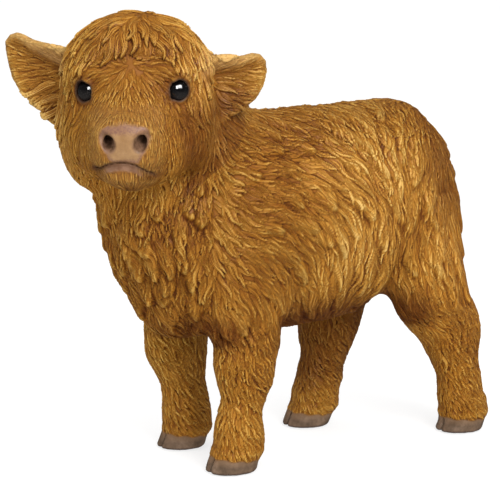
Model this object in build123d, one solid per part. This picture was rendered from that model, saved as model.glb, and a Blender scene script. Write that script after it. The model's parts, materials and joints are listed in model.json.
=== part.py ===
from build123d import *
import math
import os

# Standing calf figurine, cast in resin as several pieces that are pinned and glued.
# Millimetres. +Z up, hooves on Z = 0, the calf faces -Y, its left side is +X.
# Sections are traced in a working frame; at the end everything moves to the final
# origin, the middle of the whole box at ground level.

# ---- driving dimensions -------------------------------------------------------
SEAM_FRONT_Z = 78.0      # height of the joint between front legs and torso
SEAM_HIND_Z = 86.0       # height of the joint between hind legs and torso
WALL = 8.0               # nominal wall of the hollow torso casting
HEAD_WALL = 9.0          # nominal wall of the hollow head casting
ROD_D = 5.0              # steel rod in each leg
ROD_TOP_FRONT = 100.0
ROD_TOP_HIND = 108.0
ROD_FOOT = 24.0          # the rods end this far above the ground
DOWEL_D = 6.0            # pins across the neck joint
DOWEL_LEN = 26.0
EAR_PIN_D = 3.0
EAR_T = 5.5              # thickness of the ear leaf
EAR_R = 60.0             # radius of its cupped face
EYE_R = 7.6              # radius of the glass dome
EYE_DEEP = 4.2           # depth of its flat back behind the lid plane
TAIL_PIN_D = 3.5
TAIL_PIN_LEN = 18.0
PLUG_D = 26.0            # plug of the pouring hole under the belly
PLUG_LIP_D = 32.0

# Head axes: forward along the muzzle, toward the calf's left, and up.
HEAD_TURN = 52.0         # degrees from straight ahead toward the left
HEAD_PITCH = -2.0
HEAD_ROLL = -1.5
HEAD_ORIGIN = (12.5, -92.5, 238.8)

# Plane of the neck joint.
NECK_POINT = (0.0, -70.0, 198.0)
NECK_NORMAL = (0.25, -0.62, 0.74)

# Leg sections: z, centre x, centre y, half width x, half width back, half width front.
LEGS = {
    "front_left": [
        (0, 34, -39.5, 15.0, 15.0, 19.0), (6, 34, -38.8, 15.4, 15.8, 17.4), (12, 34, -36.6, 15.6, 16.8, 16.4),
        (19, 34, -35.2, 15.2, 16.8, 16.6), (28, 34, -35.2, 14.4, 15.8, 15.8), (39, 34, -34.0, 13.2, 14.2, 14.4),
        (46, 34, -31.6, 13.4, 14.6, 14.6), (56, 34, -30.6, 15.6, 18.4, 18.2), (68, 34, -31, 17.2, 20.6, 20.4),
        (78, 33.3, -29.8, 18.2, 21.8, 20.8), (92, 31, -30, 18, 22, 21), (112, 26, -30, 14, 19, 19)],
    "front_right": [
        (0, -33, -37.8, 15.0, 14.0, 18.6), (6, -33, -36.8, 15.2, 15.0, 16.4), (12, -33, -35.0, 15.4, 16.4, 15.6),
        (22, -33.5, -34.8, 15.0, 17.0, 16.2), (32, -34, -35.4, 14.4, 15.6, 15.2), (42, -34, -37.0, 13.8, 15.2, 15.0),
        (52, -34.5, -39.4, 15.8, 17.6, 17.6), (62, -35, -41.4, 17.6, 21.0, 20.4), (78, -34.4, -41.6, 18.7, 22.0, 21.3),
        (92, -32, -39, 18, 22, 21), (112, -26, -34, 14, 20, 20)],
    "hind_left": [
        (0, 30, 143, 15.0, 13.6, 19.0), (6, 30, 144, 15.0, 15.6, 16.4), (13, 30, 144.6, 15.2, 17.4, 16.4),
        (20, 30, 143.8, 15.4, 17.4, 16.8), (28, 30, 141.8, 14.2, 15.6, 15.4), (36, 30, 141.0, 14.0, 15.4, 15.2),
        (45, 30, 137.8, 14.6, 16.0, 15.6), (55, 30, 134.8, 15.8, 18.6, 18.4), (64, 30, 132.4, 17.4, 22.2, 21.6),
        (72, 30.5, 128.0, 18.6, 26.4, 25.6), (86, 31, 119.8, 20.2, 29.4, 29.0), (102, 29, 112, 20.6, 30, 29),
        (122, 24, 106, 18, 26, 25), (140, 20, 104, 14, 20, 20)],
    "hind_right": [
        (0, -35, 61.5, 15.0, 13.6, 18.6), (7, -35, 63.2, 15.0, 16.0, 17.0), (14, -35, 67.0, 15.2, 16.8, 16.6),
        (22, -35, 67.6, 14.6, 16.8, 16.6), (30, -35, 70.2, 14.4, 17.0, 16.4), (38, -35, 71.8, 14.0, 16.0, 15.8),
        (46, -35, 74.4, 14.6, 16.6, 16.2), (56, -35, 76.8, 16.4, 19.2, 19.4), (66, -35, 78.8, 18.0, 21.6, 22.6),
        (86, -33.8, 83.6, 20.2, 22.8, 26.4), (102, -31, 90, 20.6, 26, 28),
        (122, -25, 96, 18, 26, 26), (140, -20, 100, 14, 20, 20)],
}
# Torso sections: y, centre z, half width x, height above, depth below.
TORSO = [
    (-80, 156, 12, 14, 18), (-74, 156, 27, 30, 38), (-64, 155, 37, 44, 54), (-50, 152, 44, 60, 62), (-30, 150, 49, 69, 67),
    (0, 150, 51.5, 71.5, 69), (30, 150, 53, 72.5, 69), (60, 150, 54, 72, 66), (85, 151, 52.5, 71, 60),
    (104, 152, 48.5, 69, 54), (118, 153, 43, 62, 50), (130, 152, 36, 49, 46), (139, 150, 25, 34, 34), (145, 149, 10, 14, 15)]
CAVITY = [
    (-62, 158, 14, 18, 20), (-50, 156, 30, 42, 40), (-25, 152, 39, 58, 44), (10, 150, 43, 62, 44),
    (50, 150, 45, 63, 42), (85, 152, 43, 60, 40), (108, 153, 36, 52, 37), (122, 152, 26, 36, 30), (130, 152, 12, 16, 15)]
# Head sections along the muzzle: forward, left, up, half width, above, below.
HEAD = [
    (-43, -1, 4, 12, 12, 12), (-38, -1, 4, 24, 25, 24), (-28, -1, 4, 35, 37, 36), (-14, -1, 4, 42, 46, 43), (2, -1, 4, 45, 48, 45),
    (15, 0, 2, 43, 44, 45), (26, 0, -2, 37, 32, 43), (35, 0, -7, 31, 24, 38), (45, 0, -12, 27, 18, 34),
    (54, 0, -16, 24.5, 13, 28), (61, 0, -18, 20, 10, 22), (65, 0, -18, 11, 6, 12)]
# Ear outlines in the plane across the muzzle: left, up. Traced from base to tip and back.
EAR_RIGHT = [
    (-36, 27), (-49.8, 30.6), (-60, 33), (-70, 34.5), (-76.5, 37), (-82, 37), (-86, 33), (-87, 27), (-85.8, 18.9), (-83.2, 10.5),
    (-79, 3.6), (-72.4, -2.8), (-64.5, -9.5), (-56, -15.8), (-46, -16), (-36, -8)]
EAR_LEFT = [
    (32, 20), (40.3, 23.6), (49.3, 24.3), (60, 23.4), (67.2, 23.8), (72, 22.6), (75.2, 18.6), (75.6, 12.2), (73.3, 3.6),
    (68.8, -3.7), (63.3, -8.3), (57.1, -12.3), (49.2, -15.3), (40.8, -15.8), (32, -9)]
# Tail sections: z, centre y, half width x, back, front.
TAIL = [
    (92, 152, 4, 3, 3), (98, 152, 6.8, 5.4, 5.4), (108, 151.6, 9, 7, 7), (118, 150.6, 9.6, 7.4, 7), (132, 149.2, 8.4, 6.6, 7),
    (150, 148, 7.2, 6, 7), (170, 146.6, 7.2, 6.2, 7), (186, 142.6, 7.8, 6.8, 8), (196, 137, 8, 7.4, 9), (203, 131, 6, 6, 6)]


# ---- helpers ------------------------------------------------------------------
def unit(v):
    n = math.sqrt(sum(c * c for c in v))
    return tuple(c / n for c in v)


def axes():
    a, p, r = math.radians(HEAD_TURN), math.radians(HEAD_PITCH), math.radians(HEAD_ROLL)
    f = (math.sin(a) * math.cos(p), -math.cos(a) * math.cos(p), math.sin(p))
    l = (math.cos(a), math.sin(a), 0.0)
    u = (f[1] * l[2] - f[2] * l[1], f[2] * l[0] - f[0] * l[2], f[0] * l[1] - f[1] * l[0])
    if u[2] < 0:
        u = tuple(-c for c in u)
    l2 = tuple(l[i] * math.cos(r) - u[i] * math.sin(r) for i in range(3))
    u2 = tuple(u[i] * math.cos(r) + l[i] * math.sin(r) for i in range(3))
    return f, l2, u2


HF, HL, HU = axes()


def hp(f, l, u):
    """A point given in head axes."""
    return tuple(HEAD_ORIGIN[i] + f * HF[i] + l * HL[i] + u * HU[i] for i in range(3))


def ring(point, wx, up, down, n=16):
    """Closed smooth section with a half width and two unequal half heights."""
    pts = []
    for i in range(n):
        t = 2 * math.pi * i / n
        s = math.sin(t)
        pts.append(point(wx * math.cos(t), (up if s >= 0 else down) * s))
    return Wire([Edge.make_spline([Vector(*p) for p in pts], periodic=True)])


def dense(rows, step, stops=()):
    """The same table at even steps between its ends and stops, on monotone cubics, so that a loft through it doesn't swell."""
    t = [r[0] for r in rows]
    out_t = []
    for a, b in zip([t[0]] + list(stops), list(stops) + [t[-1]]):
        k = max(2, round((b - a) / step))
        out_t += [a + (b - a) * i / k for i in range(k)]
    out_t.append(t[-1])
    cols = []
    for j in range(1, len(rows[0])):
        y = [r[j] for r in rows]
        d = [(y[i + 1] - y[i]) / (t[i + 1] - t[i]) for i in range(len(t) - 1)]
        m = [d[0]] + [0.0] * (len(t) - 2) + [d[-1]]
        for i in range(1, len(t) - 1):
            if d[i - 1] * d[i] > 0:
                h0, h1 = t[i] - t[i - 1], t[i + 1] - t[i]
                w1, w2 = 2 * h1 + h0, h1 + 2 * h0
                m[i] = (w1 + w2) / (w1 / d[i - 1] + w2 / d[i])
        col = []
        for x in out_t:
            i = max(k for k in range(len(t) - 1) if t[k] <= x)
            h = t[i + 1] - t[i]
            q = (x - t[i]) / h
            col.append((2 * q**3 - 3 * q * q + 1) * y[i] + (q**3 - 2 * q * q + q) * h * m[i]
                       + (3 * q * q - 2 * q**3) * y[i + 1] + (q**3 - q * q) * h * m[i + 1])
        cols.append(col)
    return [tuple([out_t[i]] + [c[i] for c in cols]) for i in range(len(out_t))]


def loft_of(wires):
    return Solid.make_loft(wires)


def clean(shape, name):
    """One valid solid, the largest, out of a boolean result."""
    solids = sorted(shape.solids(), key=lambda s: -s.volume)
    assert solids, name
    s = solids[0]
    print(name, "solids", len(solids), "volume", round(s.volume), "valid", s.is_valid)
    return s


def ellipsoid(centre, radii, x_dir=None, z_dir=None):
    """Ellipsoid as a loft of circles squeezed to its radii."""
    rx, ry, rz = radii
    xd = unit(x_dir) if x_dir else (1, 0, 0)
    zd = unit(z_dir) if z_dir else (0, 0, 1)
    yd = (zd[1] * xd[2] - zd[2] * xd[1], zd[2] * xd[0] - zd[0] * xd[2], zd[0] * xd[1] - zd[1] * xd[0])
    rows = []
    for k in range(9):
        t = -0.97 + 1.94 * k / 8
        t = math.sin(t * math.pi / 2)
        h = math.sqrt(max(1 - t * t, 0))
        rows.append(ring(lambda a, b, t=t: tuple(centre[i] + a * xd[i] + b * yd[i] + rz * t * zd[i] for i in range(3)), rx * h, ry * h, ry * h, 12))
    return loft_of(rows)


def trail(shape, label):
    print(label, "volume", round(shape.volume), "solids", len(shape.solids()), "valid", shape.is_valid)
    return shape


def half_space(point, normal, size=700):
    """Large block on the positive side of a plane."""
    plane = Plane(origin=Vector(*point), z_dir=Vector(*normal))
    return Box(size, size, size, align=(Align.CENTER, Align.CENTER, Align.MIN)).moved(plane.location)


def rod(a, b, d):
    """Round rod between two points."""
    v = Vector(*b) - Vector(*a)
    plane = Plane(origin=Vector(*a), z_dir=v)
    return Solid.make_cylinder(d / 2, v.length, plane)


# ---- raw bodies ----------------------------------------------------------------
torso_raw = loft_of([ring(lambda a, b, r=r: (a, r[0], r[1] + b), r[2], r[3], r[4]) for r in dense(TORSO, 11, (-64, 130))])
cavity = loft_of([ring(lambda a, b, r=r: (a, r[0], r[1] + b), r[2], r[3], r[4], 12) for r in CAVITY])
head_raw = loft_of([ring(lambda a, b, r=r: hp(r[0], r[1] + a, r[2] + b), r[3], r[4], r[5]) for r in dense(HEAD, 9, (-28, 54))])

# Neck: sections square to its axis, from the withers to the poll, then the ruff and the brisket.
neck_a, neck_b = (0.0, -22.0, 172.0), hp(-10, 0, 2)
neck_dir = unit(tuple(neck_b[i] - neck_a[i] for i in range(3)))
neck_len = math.sqrt(sum((neck_b[i] - neck_a[i]) ** 2 for i in range(3)))
side = unit((1.0, -neck_dir[0] / neck_dir[1], 0.0)) if abs(neck_dir[1]) > 1e-6 else (1, 0, 0)
over = (side[1] * neck_dir[2] - side[2] * neck_dir[1], side[2] * neck_dir[0] - side[0] * neck_dir[2], side[0] * neck_dir[1] - side[1] * neck_dir[0])
if over[2] < 0:
    over = tuple(-c for c in over)
neck_rows = []
for t, w, up, down in ((0.0, 42, 40, 44), (0.35, 42, 42, 44), (0.7, 40, 40, 42), (1.0, 38, 37, 38)):
    c = tuple(neck_a[i] + neck_dir[i] * neck_len * t for i in range(3))
    neck_rows.append(ring(lambda a, b, c=c: tuple(c[i] + a * side[i] + b * over[i] for i in range(3)), w, up, down))
neck_raw = loft_of(neck_rows)
brisket = ellipsoid((-3, -72, 156), (42, 35, 56))
ruff = ellipsoid((-6, -80, 194), (36, 32, 40))
lower_brisket = ellipsoid((-2, -60, 118), (34, 28, 36))

stubs = {}
legs = {}
for name in LEGS:
    z = SEAM_FRONT_Z if name.startswith("front") else SEAM_HIND_Z
    section = lambda r: ring(lambda a, b: (r[1] + a, r[2] + b, r[0]), r[3], r[4], r[5])
    rows = dense(LEGS[name], 6, (z,))
    legs[name] = loft_of([section(r) for r in rows if r[0] <= z + 1e-6])
    stubs[name] = loft_of([section(r) for r in rows if r[0] >= z - 1e-6])
    print(name, "leg", round(legs[name].volume), legs[name].is_valid, "stub", round(stubs[name].volume), stubs[name].is_valid)

print("raw done")
whole = torso_raw
for nm, b in (("neck", neck_raw), ("brisket", brisket), ("ruff", ruff), ("lower_brisket", lower_brisket)):
    whole = whole + b
    trail(whole, "with " + nm)
head_side = half_space(NECK_POINT, NECK_NORMAL)
body_side = half_space(NECK_POINT, tuple(-c for c in NECK_NORMAL))
torso = whole & body_side
neck_top = whole & head_side
for name in LEGS:
    torso = torso + stubs[name]
    trail(torso, "with stub " + name)
# Nothing of the torso hangs below the joints beside the legs.
head = head_raw + neck_top
trail(head, "head with neck")

# ---- ears: leaves cut from a hollow ball, so that they are cupped toward the front -----
def ear(outline, sign):
    # prism of the outline along the muzzle axis, between two spheres; the leaf leans back toward its tip
    pts = [hp(-70, l, u) for l, u in outline]
    edge = Edge.make_spline([Vector(*p) for p in pts], periodic=True)
    face = Face(Wire([edge]))
    prism = Solid.extrude(face, Vector(*[c * 120 for c in HF]))
    mid_l = sum(p[0] for p in outline) / len(outline)
    mid_u = sum(p[1] for p in outline) / len(outline)
    lean = math.radians(15)
    depth = -26.0
    c = (depth + EAR_R * math.cos(lean), mid_l + sign * EAR_R * math.sin(lean), mid_u)
    ball = Solid.make_sphere(EAR_R + EAR_T / 2, angle1=-90, angle2=90, angle3=360).moved(Location(hp(*c)))
    inner = Solid.make_sphere(EAR_R - EAR_T / 2, angle1=-90, angle2=90, angle3=360).moved(Location(hp(*c)))
    back = half_space(hp(c[0], 0, 0), tuple(-k for k in HF))
    return (prism & ball & back) - inner


ear_left = clean(ear(EAR_LEFT, 1), "ear_left raw")
ear_right = clean(ear(EAR_RIGHT, -1), "ear_right raw")
ear_left = clean(ear_left - head, "ear_left")
ear_right = clean(ear_right - head, "ear_right")

# ---- eyes: glass domes with flat backs ------------------------------------------------
EYE_L = (28.0, 28.6, 9.6)
EYE_R_C = (28.0, -28.6, 9.6)
eyes = {}
for name, c, s in (("eye_left", EYE_L, 1), ("eye_right", EYE_R_C, -1)):
    look = unit(tuple(0.80 * HF[i] + s * 0.60 * HL[i] + 0.02 * HU[i] for i in range(3)))
    centre = hp(*c)
    dome = Solid.make_sphere(EYE_R, angle1=-90, angle2=90, angle3=360).moved(Location(centre))
    front = half_space(tuple(centre[i] - EYE_DEEP * look[i] for i in range(3)), look)
    eyes[name] = clean(dome & front, name)

# ---- tail ---------------------------------------------------------------------------
tail = loft_of([ring(lambda a, b, r=r: (a, r[1] + b, r[0]), r[2], r[3], r[4], 12) for r in dense(TAIL, 9)])

# ---- pins, rods, plug ------------------------------------------------------------------
rods = {}
for name, (top_z, ax, ay, bx, by) in {
    "front_left": (ROD_TOP_FRONT, 34, -35, 32, -30),
    "front_right": (ROD_TOP_FRONT, -33.5, -35.5, -32, -40),
    "hind_left": (ROD_TOP_HIND, 30, 142.6, 30, 112.5),
    "hind_right": (ROD_TOP_HIND, -35, 69, -31.5, 89),
}.items():
    rods[name] = rod((ax, ay, ROD_FOOT), (bx, by, top_z), ROD_D)

n = unit(NECK_NORMAL)
axis_pt = (2.0, -74.0, 0.0)
axis_z = NECK_POINT[2] + (-(n[0] * (axis_pt[0] - NECK_POINT[0]) + n[1] * (axis_pt[1] - NECK_POINT[1]))) / n[2]
neck_mid = (axis_pt[0], axis_pt[1], axis_z)
ux = unit((n[2], 0.0, -n[0]))
uy = (n[1] * ux[2] - n[2] * ux[1], n[2] * ux[0] - n[0] * ux[2], n[0] * ux[1] - n[1] * ux[0])
dowels = []
for s in (-1, 1):
    c = tuple(neck_mid[i] + s * 24 * ux[i] for i in range(3))
    dowels.append(rod(tuple(c[i] - n[i] * DOWEL_LEN / 2 for i in range(3)), tuple(c[i] + n[i] * DOWEL_LEN / 2 for i in range(3)), DOWEL_D))
# Core hole through the neck: the two hollow castings open into each other there.
core = rod(tuple(neck_mid[i] - n[i] * 46 for i in range(3)), tuple(neck_mid[i] + n[i] * 34 for i in range(3)), 26.0)
head_cavity = ellipsoid(hp(-4, -1, 4), (45 - HEAD_WALL - 4, 46 - HEAD_WALL - 4, 44 - HEAD_WALL - 6), HL, HF)

ear_pins = {
    "left": rod(hp(-14.9, 33.2, 3), hp(-23.4, 46.8, 3), EAR_PIN_D),
    "right": rod(hp(-7.9, -36.0, 8), hp(-18.5, -48.0, 8), EAR_PIN_D),
}
tail_pin = rod((0, 139.5, 190), (0, 139.5 - TAIL_PIN_LEN, 184), TAIL_PIN_D)
PLUG_Y = 34.0
plug = Solid.make_cylinder(PLUG_LIP_D / 2, 5.0, Plane(origin=(0, PLUG_Y, 84.5))) + Solid.make_cylinder(PLUG_D / 2, 14.0, Plane(origin=(0, PLUG_Y, 89.5)))
pour_hole = (
    Solid.make_cylinder(PLUG_LIP_D / 2, 25.0, Plane(origin=(0, PLUG_Y, 64.5)))
    + Solid.make_cylinder(PLUG_D / 2, 40.0, Plane(origin=(0, PLUG_Y, 89.5)))
)

# ---- fit the pieces together ----------------------------------------------------------
torso = trail(torso - cavity, "hollow")
torso = trail(torso - core, "neck core")
torso = trail(torso - pour_hole, "pouring hole")
torso = trail(torso - tail, "tail seat")
head = trail(head - head_cavity, "head hollow")
head = trail(head - core, "head core")
for e in eyes.values():
    head = head - e
for d in dowels:
    torso = torso - d
    head = head - d
for name in LEGS:
    torso = torso - rods[name]
    legs[name] = legs[name] - rods[name]
torso = torso - tail_pin
tail = tail - tail_pin
head = head - ear_pins["left"] - ear_pins["right"]
ear_left = ear_left - ear_pins["left"]
ear_right = ear_right - ear_pins["right"]

parts = {
    "torso_casting": clean(torso, "torso_casting"),
    "head_casting": clean(head, "head_casting"),
    "ear_left": clean(ear_left, "ear_left"),
    "ear_right": clean(ear_right, "ear_right"),
    "eye_left": eyes["eye_left"],
    "eye_right": eyes["eye_right"],
    "tail": clean(tail, "tail"),
    "tail_pin": tail_pin,
    "belly_plug": clean(plug, "belly_plug"),
    "neck_dowels": dowels,
    "ear_pins": list(ear_pins.values()),
}
for name in LEGS:
    parts["leg_" + name] = clean(legs[name], "leg_" + name)
    parts["rod_" + name] = rods[name]

os.makedirs("parts", exist_ok=True)
groups = {name: shape if isinstance(shape, list) else [shape] for name, shape in parts.items()}
box = Compound(children=[s.moved(Location((0, 0, 0))) for g in groups.values() for s in g]).bounding_box()
shift = Location((round(-(box.min.X + box.max.X) / 2, 2), round(-(box.min.Y + box.max.Y) / 2, 2), 0.0))
for name, group in groups.items():
    placed = [s.moved(shift) for s in group]
    export_step(placed[0] if len(placed) == 1 else Compound(children=placed), "parts/" + name + ".step")
print("box", box.min, box.max, box.size, "shift", shift.position)
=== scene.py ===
import json
import math
import time

import bpy
import numpy as np
from mathutils.kdtree import KDTree
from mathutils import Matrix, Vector
from mathutils.geometry import tessellate_polygon

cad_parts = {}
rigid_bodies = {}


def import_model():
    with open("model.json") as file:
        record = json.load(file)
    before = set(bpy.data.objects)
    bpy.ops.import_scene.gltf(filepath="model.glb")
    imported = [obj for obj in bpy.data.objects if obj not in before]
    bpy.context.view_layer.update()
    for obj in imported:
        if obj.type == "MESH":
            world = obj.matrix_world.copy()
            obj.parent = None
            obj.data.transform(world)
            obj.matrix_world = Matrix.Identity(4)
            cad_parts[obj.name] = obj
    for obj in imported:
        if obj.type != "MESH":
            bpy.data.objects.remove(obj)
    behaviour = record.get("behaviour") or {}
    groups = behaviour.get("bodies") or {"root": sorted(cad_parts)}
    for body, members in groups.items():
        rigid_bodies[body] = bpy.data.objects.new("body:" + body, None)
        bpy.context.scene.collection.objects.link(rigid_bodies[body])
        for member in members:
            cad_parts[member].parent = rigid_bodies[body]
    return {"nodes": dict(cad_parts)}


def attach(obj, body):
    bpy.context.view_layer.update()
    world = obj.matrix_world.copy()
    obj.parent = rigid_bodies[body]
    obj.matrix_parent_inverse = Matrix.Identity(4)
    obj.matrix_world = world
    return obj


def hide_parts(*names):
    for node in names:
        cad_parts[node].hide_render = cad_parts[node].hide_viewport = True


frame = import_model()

T0 = time.time()
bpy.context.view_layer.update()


def say(*a):
    print("[calf %5.1fs]" % (time.time() - T0), *a, flush=True)


# ---------------------------------------------------------------------------------------
# The calf is shaped in millimetres: it faces -Y, its left side is +X, its soles are z = 0.
# SHIFT takes that frame to the row's own, whose origin is the middle of the footprint.
# ---------------------------------------------------------------------------------------
SHIFT = np.array([-4.24, -7.05, 0.0])
EX, EY, EZ = np.eye(3)


def smin(a, b, k):
    h = np.clip(0.5 + 0.5 * (b - a) / k, 0, 1)
    return b + (a - b) * h - k * h * (1 - h)


def smax(a, b, k):
    return -smin(-a, -b, k)


def sstep(a, b, x):
    t = np.clip((x - a) / (b - a), 0, 1)
    return t * t * (3 - 2 * t)


def unit_rows(v):
    return v / (np.linalg.norm(v, axis=-1, keepdims=True) + 1e-12)


def table_of(ts, ys, n=400):
    """Monotone cubic through the rows, as a lookup table."""
    ts = np.asarray(ts, float); ys = np.asarray(ys, float)
    h = np.diff(ts); d = np.diff(ys) / h
    m = np.zeros_like(ys)
    for i in range(1, len(ts) - 1):
        if d[i - 1] * d[i] > 0:
            w1 = 2 * h[i] + h[i - 1]; w2 = h[i] + 2 * h[i - 1]
            m[i] = (w1 + w2) / (w1 / d[i - 1] + w2 / d[i])
    m[0] = d[0]; m[-1] = d[-1]
    t = np.linspace(ts[0], ts[-1], n)
    i = np.clip(np.searchsorted(ts, t, side='right') - 1, 0, len(ts) - 2)
    s = (t - ts[i]) / h[i]
    y = ((2*s**3 - 3*s**2 + 1) * ys[i] + (s**3 - 2*s**2 + s) * h[i] * m[i]
         + (-2*s**3 + 3*s**2) * ys[i + 1] + (s**3 - s**2) * h[i] * m[i + 1])
    return t, y


class Loft:
    """Elliptic sections along an axis: t, centre1, centre2, half width, half height up, half height down."""
    def __init__(self, o, e1, e2, e3, rows, cap0=10., cap1=10.):
        self.o = np.asarray(o, float); self.e = [np.asarray(x, float) for x in (e1, e2, e3)]
        r = np.asarray(rows, float)
        self.t0, self.t1 = r[0, 0], r[-1, 0]
        self.cap0, self.cap1 = cap0, cap1
        self.tab = [table_of(r[:, 0], r[:, j]) for j in range(1, r.shape[1])]

    def __call__(self, P):
        q = P - self.o
        t = q @ self.e[2]
        tc = np.clip(t, self.t0, self.t1)
        c1, c2, w1, w2p, w2n = [np.interp(tc, a, b) for a, b in self.tab]
        x = q @ self.e[0] - c1
        y = q @ self.e[1] - c2
        w2 = np.where(y > 0, w2p, w2n)
        ex = np.where(t > self.t1, (t - self.t1) / self.cap1, np.where(t < self.t0, (self.t0 - t) / self.cap0, 0))
        cap = np.where(t > self.t1, self.cap1, self.cap0)
        a, b = np.abs(x) / w1, np.abs(y) / w2
        k0 = np.sqrt(a * a + b * b + ex * ex) + 1e-9
        k1 = np.sqrt((a / w1) ** 2 + (b / w2) ** 2 + (ex / cap) ** 2) + 1e-9
        return k0 * (k0 - 1) / k1


def ell(P, c, r):
    q = P - np.asarray(c, float)
    r = np.asarray(r, float)
    k0 = np.sqrt(((q / r) ** 2).sum(1)) + 1e-9
    k1 = np.sqrt(((q / r ** 2) ** 2).sum(1)) + 1e-9
    return k0 * (k0 - 1) / k1


def rcone(P, a, b, r1, r2):
    a = np.asarray(a, float); b = np.asarray(b, float)
    ba = b - a; l2 = ba @ ba; rr = r1 - r2; a2 = l2 - rr * rr; il2 = 1 / l2
    pa = P - a; y = pa @ ba; z = y - l2
    x2 = ((pa * l2 - y[:, None] * ba) ** 2).sum(1)
    y2 = y * y * l2; z2 = z * z * l2
    k = np.sign(rr) * rr * rr * x2
    d3 = (np.sqrt(np.maximum(x2 * a2 * il2, 0)) + y * rr) * il2 - r1
    d1 = np.sqrt(x2 + z2) * il2 - r2
    d2 = np.sqrt(x2 + y2) * il2 - r1
    return np.where(np.sign(z) * a2 * z2 > k, d1, np.where(np.sign(y) * a2 * y2 < k, d2, d3))


# ---------- the head's own axes: f forward, l to the calf's left, u up ----------
HEAD_AZ, HEAD_PITCH, HEAD_ROLL = 52.0, -2.0, -1.5
HEAD_O = np.array([12.5, -92.5, 238.8])
_a, _q, _r = np.radians([HEAD_AZ, HEAD_PITCH, HEAD_ROLL])
HF = np.array([np.sin(_a)*np.cos(_q), -np.cos(_a)*np.cos(_q), np.sin(_q)])
HL = np.array([np.cos(_a), np.sin(_a), 0.0])
HU = np.cross(HF, HL); HU = HU if HU[2] > 0 else -HU
HL, HU = HL*np.cos(_r)-HU*np.sin(_r), HU*np.cos(_r)+HL*np.sin(_r)
NECK_P = np.array([0.0, -70.0, 198.0])
NECK_N = np.array([0.25, -0.62, 0.74]); NECK_N /= np.linalg.norm(NECK_N)


def hp(f, l, u):
    return HEAD_O + f*HF + l*HL + u*HU


def head_co(P):
    q = P - HEAD_O
    return np.stack([q @ HF, q @ HL, q @ HU], 1)


# ---------- legs: z, cx, cy, half width, back, front ----------
LEGS = {
 'leg_front_left':  [(0,34,-39.5,15.0,15.0,19.0),(6,34,-38.8,15.4,15.8,17.4),(12,34,-36.6,15.6,16.8,16.4),(19,34,-35.2,15.2,16.8,16.6),(28,34,-35.2,14.4,15.8,15.8),(39,34,-34.0,13.2,14.2,14.4),(46,34,-31.6,13.4,14.6,14.6),(56,34,-30.6,15.6,18.4,18.2),(68,34,-31,17.2,20.6,20.4),(82,33,-29.0,18.6,22.4,21.0),(108,31,-30,20,27,24),(135,28,-30,18,28,26)],
 'leg_front_right': [(0,-33,-37.8,15.0,14.0,18.6),(6,-33,-36.8,15.2,15.0,16.4),(12,-33,-35.0,15.4,16.4,15.6),(22,-33.5,-34.8,15.0,17.0,16.2),(32,-34,-35.4,14.4,15.6,15.2),(42,-34,-37.0,13.8,15.2,15.0),(52,-34.5,-39.4,15.8,17.6,17.6),(62,-35,-41.4,17.6,21.0,20.4),(75,-34.5,-42.0,18.6,21.6,21.0),(90,-34,-40,19,24,23),(108,-31,-36,20,27,26),(135,-28,-32,18,28,28)],
 'leg_hind_left':   [(0,30,143,15.0,13.6,19.0),(6,30,144,15.0,15.6,16.4),(13,30,144.6,15.2,17.4,16.4),(20,30,143.8,15.4,17.4,16.8),(28,30,141.8,14.2,15.6,15.4),(36,30,141.0,14.0,15.4,15.2),(45,30,137.8,14.6,16.0,15.6),(55,30,134.8,15.8,18.6,18.4),(64,30,132.4,17.4,22.2,21.6),(72,30.5,128.0,18.6,26.4,25.6),(84,31,121.2,20,29.0,29.0),(96,31,112.5,22,31,28),(125,28,106.5,24,33,31),(155,24,104,24,33,31)],
 'leg_hind_right':  [(0,-35,61.5,15.0,13.6,18.6),(7,-35,63.2,15.0,16.0,17.0),(14,-35,67.0,15.2,16.8,16.6),(22,-35,67.6,14.6,16.8,16.6),(30,-35,70.2,14.4,17.0,16.4),(38,-35,71.8,14.0,16.0,15.8),(46,-35,74.4,14.6,16.6,16.2),(56,-35,76.8,16.4,19.2,19.4),(66,-35,78.8,18,21.6,22.6),(84,-34,83,20,22,26),(105,-31,91,23,30,32),(130,-28,98,24,38,34),(155,-24,102,24,38,34)],
}
LEG_LOFT = {k: Loft((0, 0, 0), EX, EY, EZ, v, cap0=1.2, cap1=14.) for k, v in LEGS.items()}
SEAM_Z = {'leg_front_left': 78.0, 'leg_front_right': 78.0, 'leg_hind_left': 86.0, 'leg_hind_right': 86.0}

TORSO = Loft((0, 0, 0), EX, EZ, EY, [
 (-66,0,156,36,40,52),(-50,0,152,44,60,62),(-30,0,150,49,71,67),(0,0,150,51,74,69),(30,0,150,53,75,69),(60,0,150,54,75,65),
 (85,0,151,52,74.5,57),(102,0,152,48.5,73.5,51),(112,0,153,45.5,71,50),(120,0,153,42,65.5,48),(127,0,152,38.5,56,46),(134,0,150,33,44,43),(140,0,148,29,34,41)], cap0=16, cap1=7)
TAIL = Loft((0, 0, 0), EX, EY, EZ, [(94,0,149.0,4,3.5,3.5),(102,0,148.4,8.2,6.5,6.5),(116,0,146.4,9.6,7.4,7),(132,0,144.2,8.4,6.6,7),(150,0,143.4,7.2,6.0,7),(170,0,144.0,7.2,6.2,7),(186,0,141.6,7.8,6.8,8),(197,0,136,8.6,8.0,9),(203,0,130,8,9,9)], cap0=4, cap1=5)


def d_body(P):
    d = TORSO(P)
    for s in (1, -1):
        d = smin(d, ell(P, (s*32, -32, 128), (20, 30, 50)), 14)
    d = smin(d, ell(P, (0, 112, 174), (34, 31, 37)), 10)
    d = smin(d, ell(P, (0, 127, 190), (17, 15, 17)), 7)
    return d


def d_neck(P):
    d = rcone(P, (0, -28, 180), hp(-12, 0, -6), 45, 38)
    d = smin(d, ell(P, (-2.5, -71.6, 160), (41.6, 34.6, 52)), 16)
    d = smin(d, ell(P, (-6, -80, 196), (36, 32, 40)), 14)
    d = smin(d, ell(P, (-1.5, -60.5, 118.5), (33, 27.5, 36)), 14)
    return d


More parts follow.
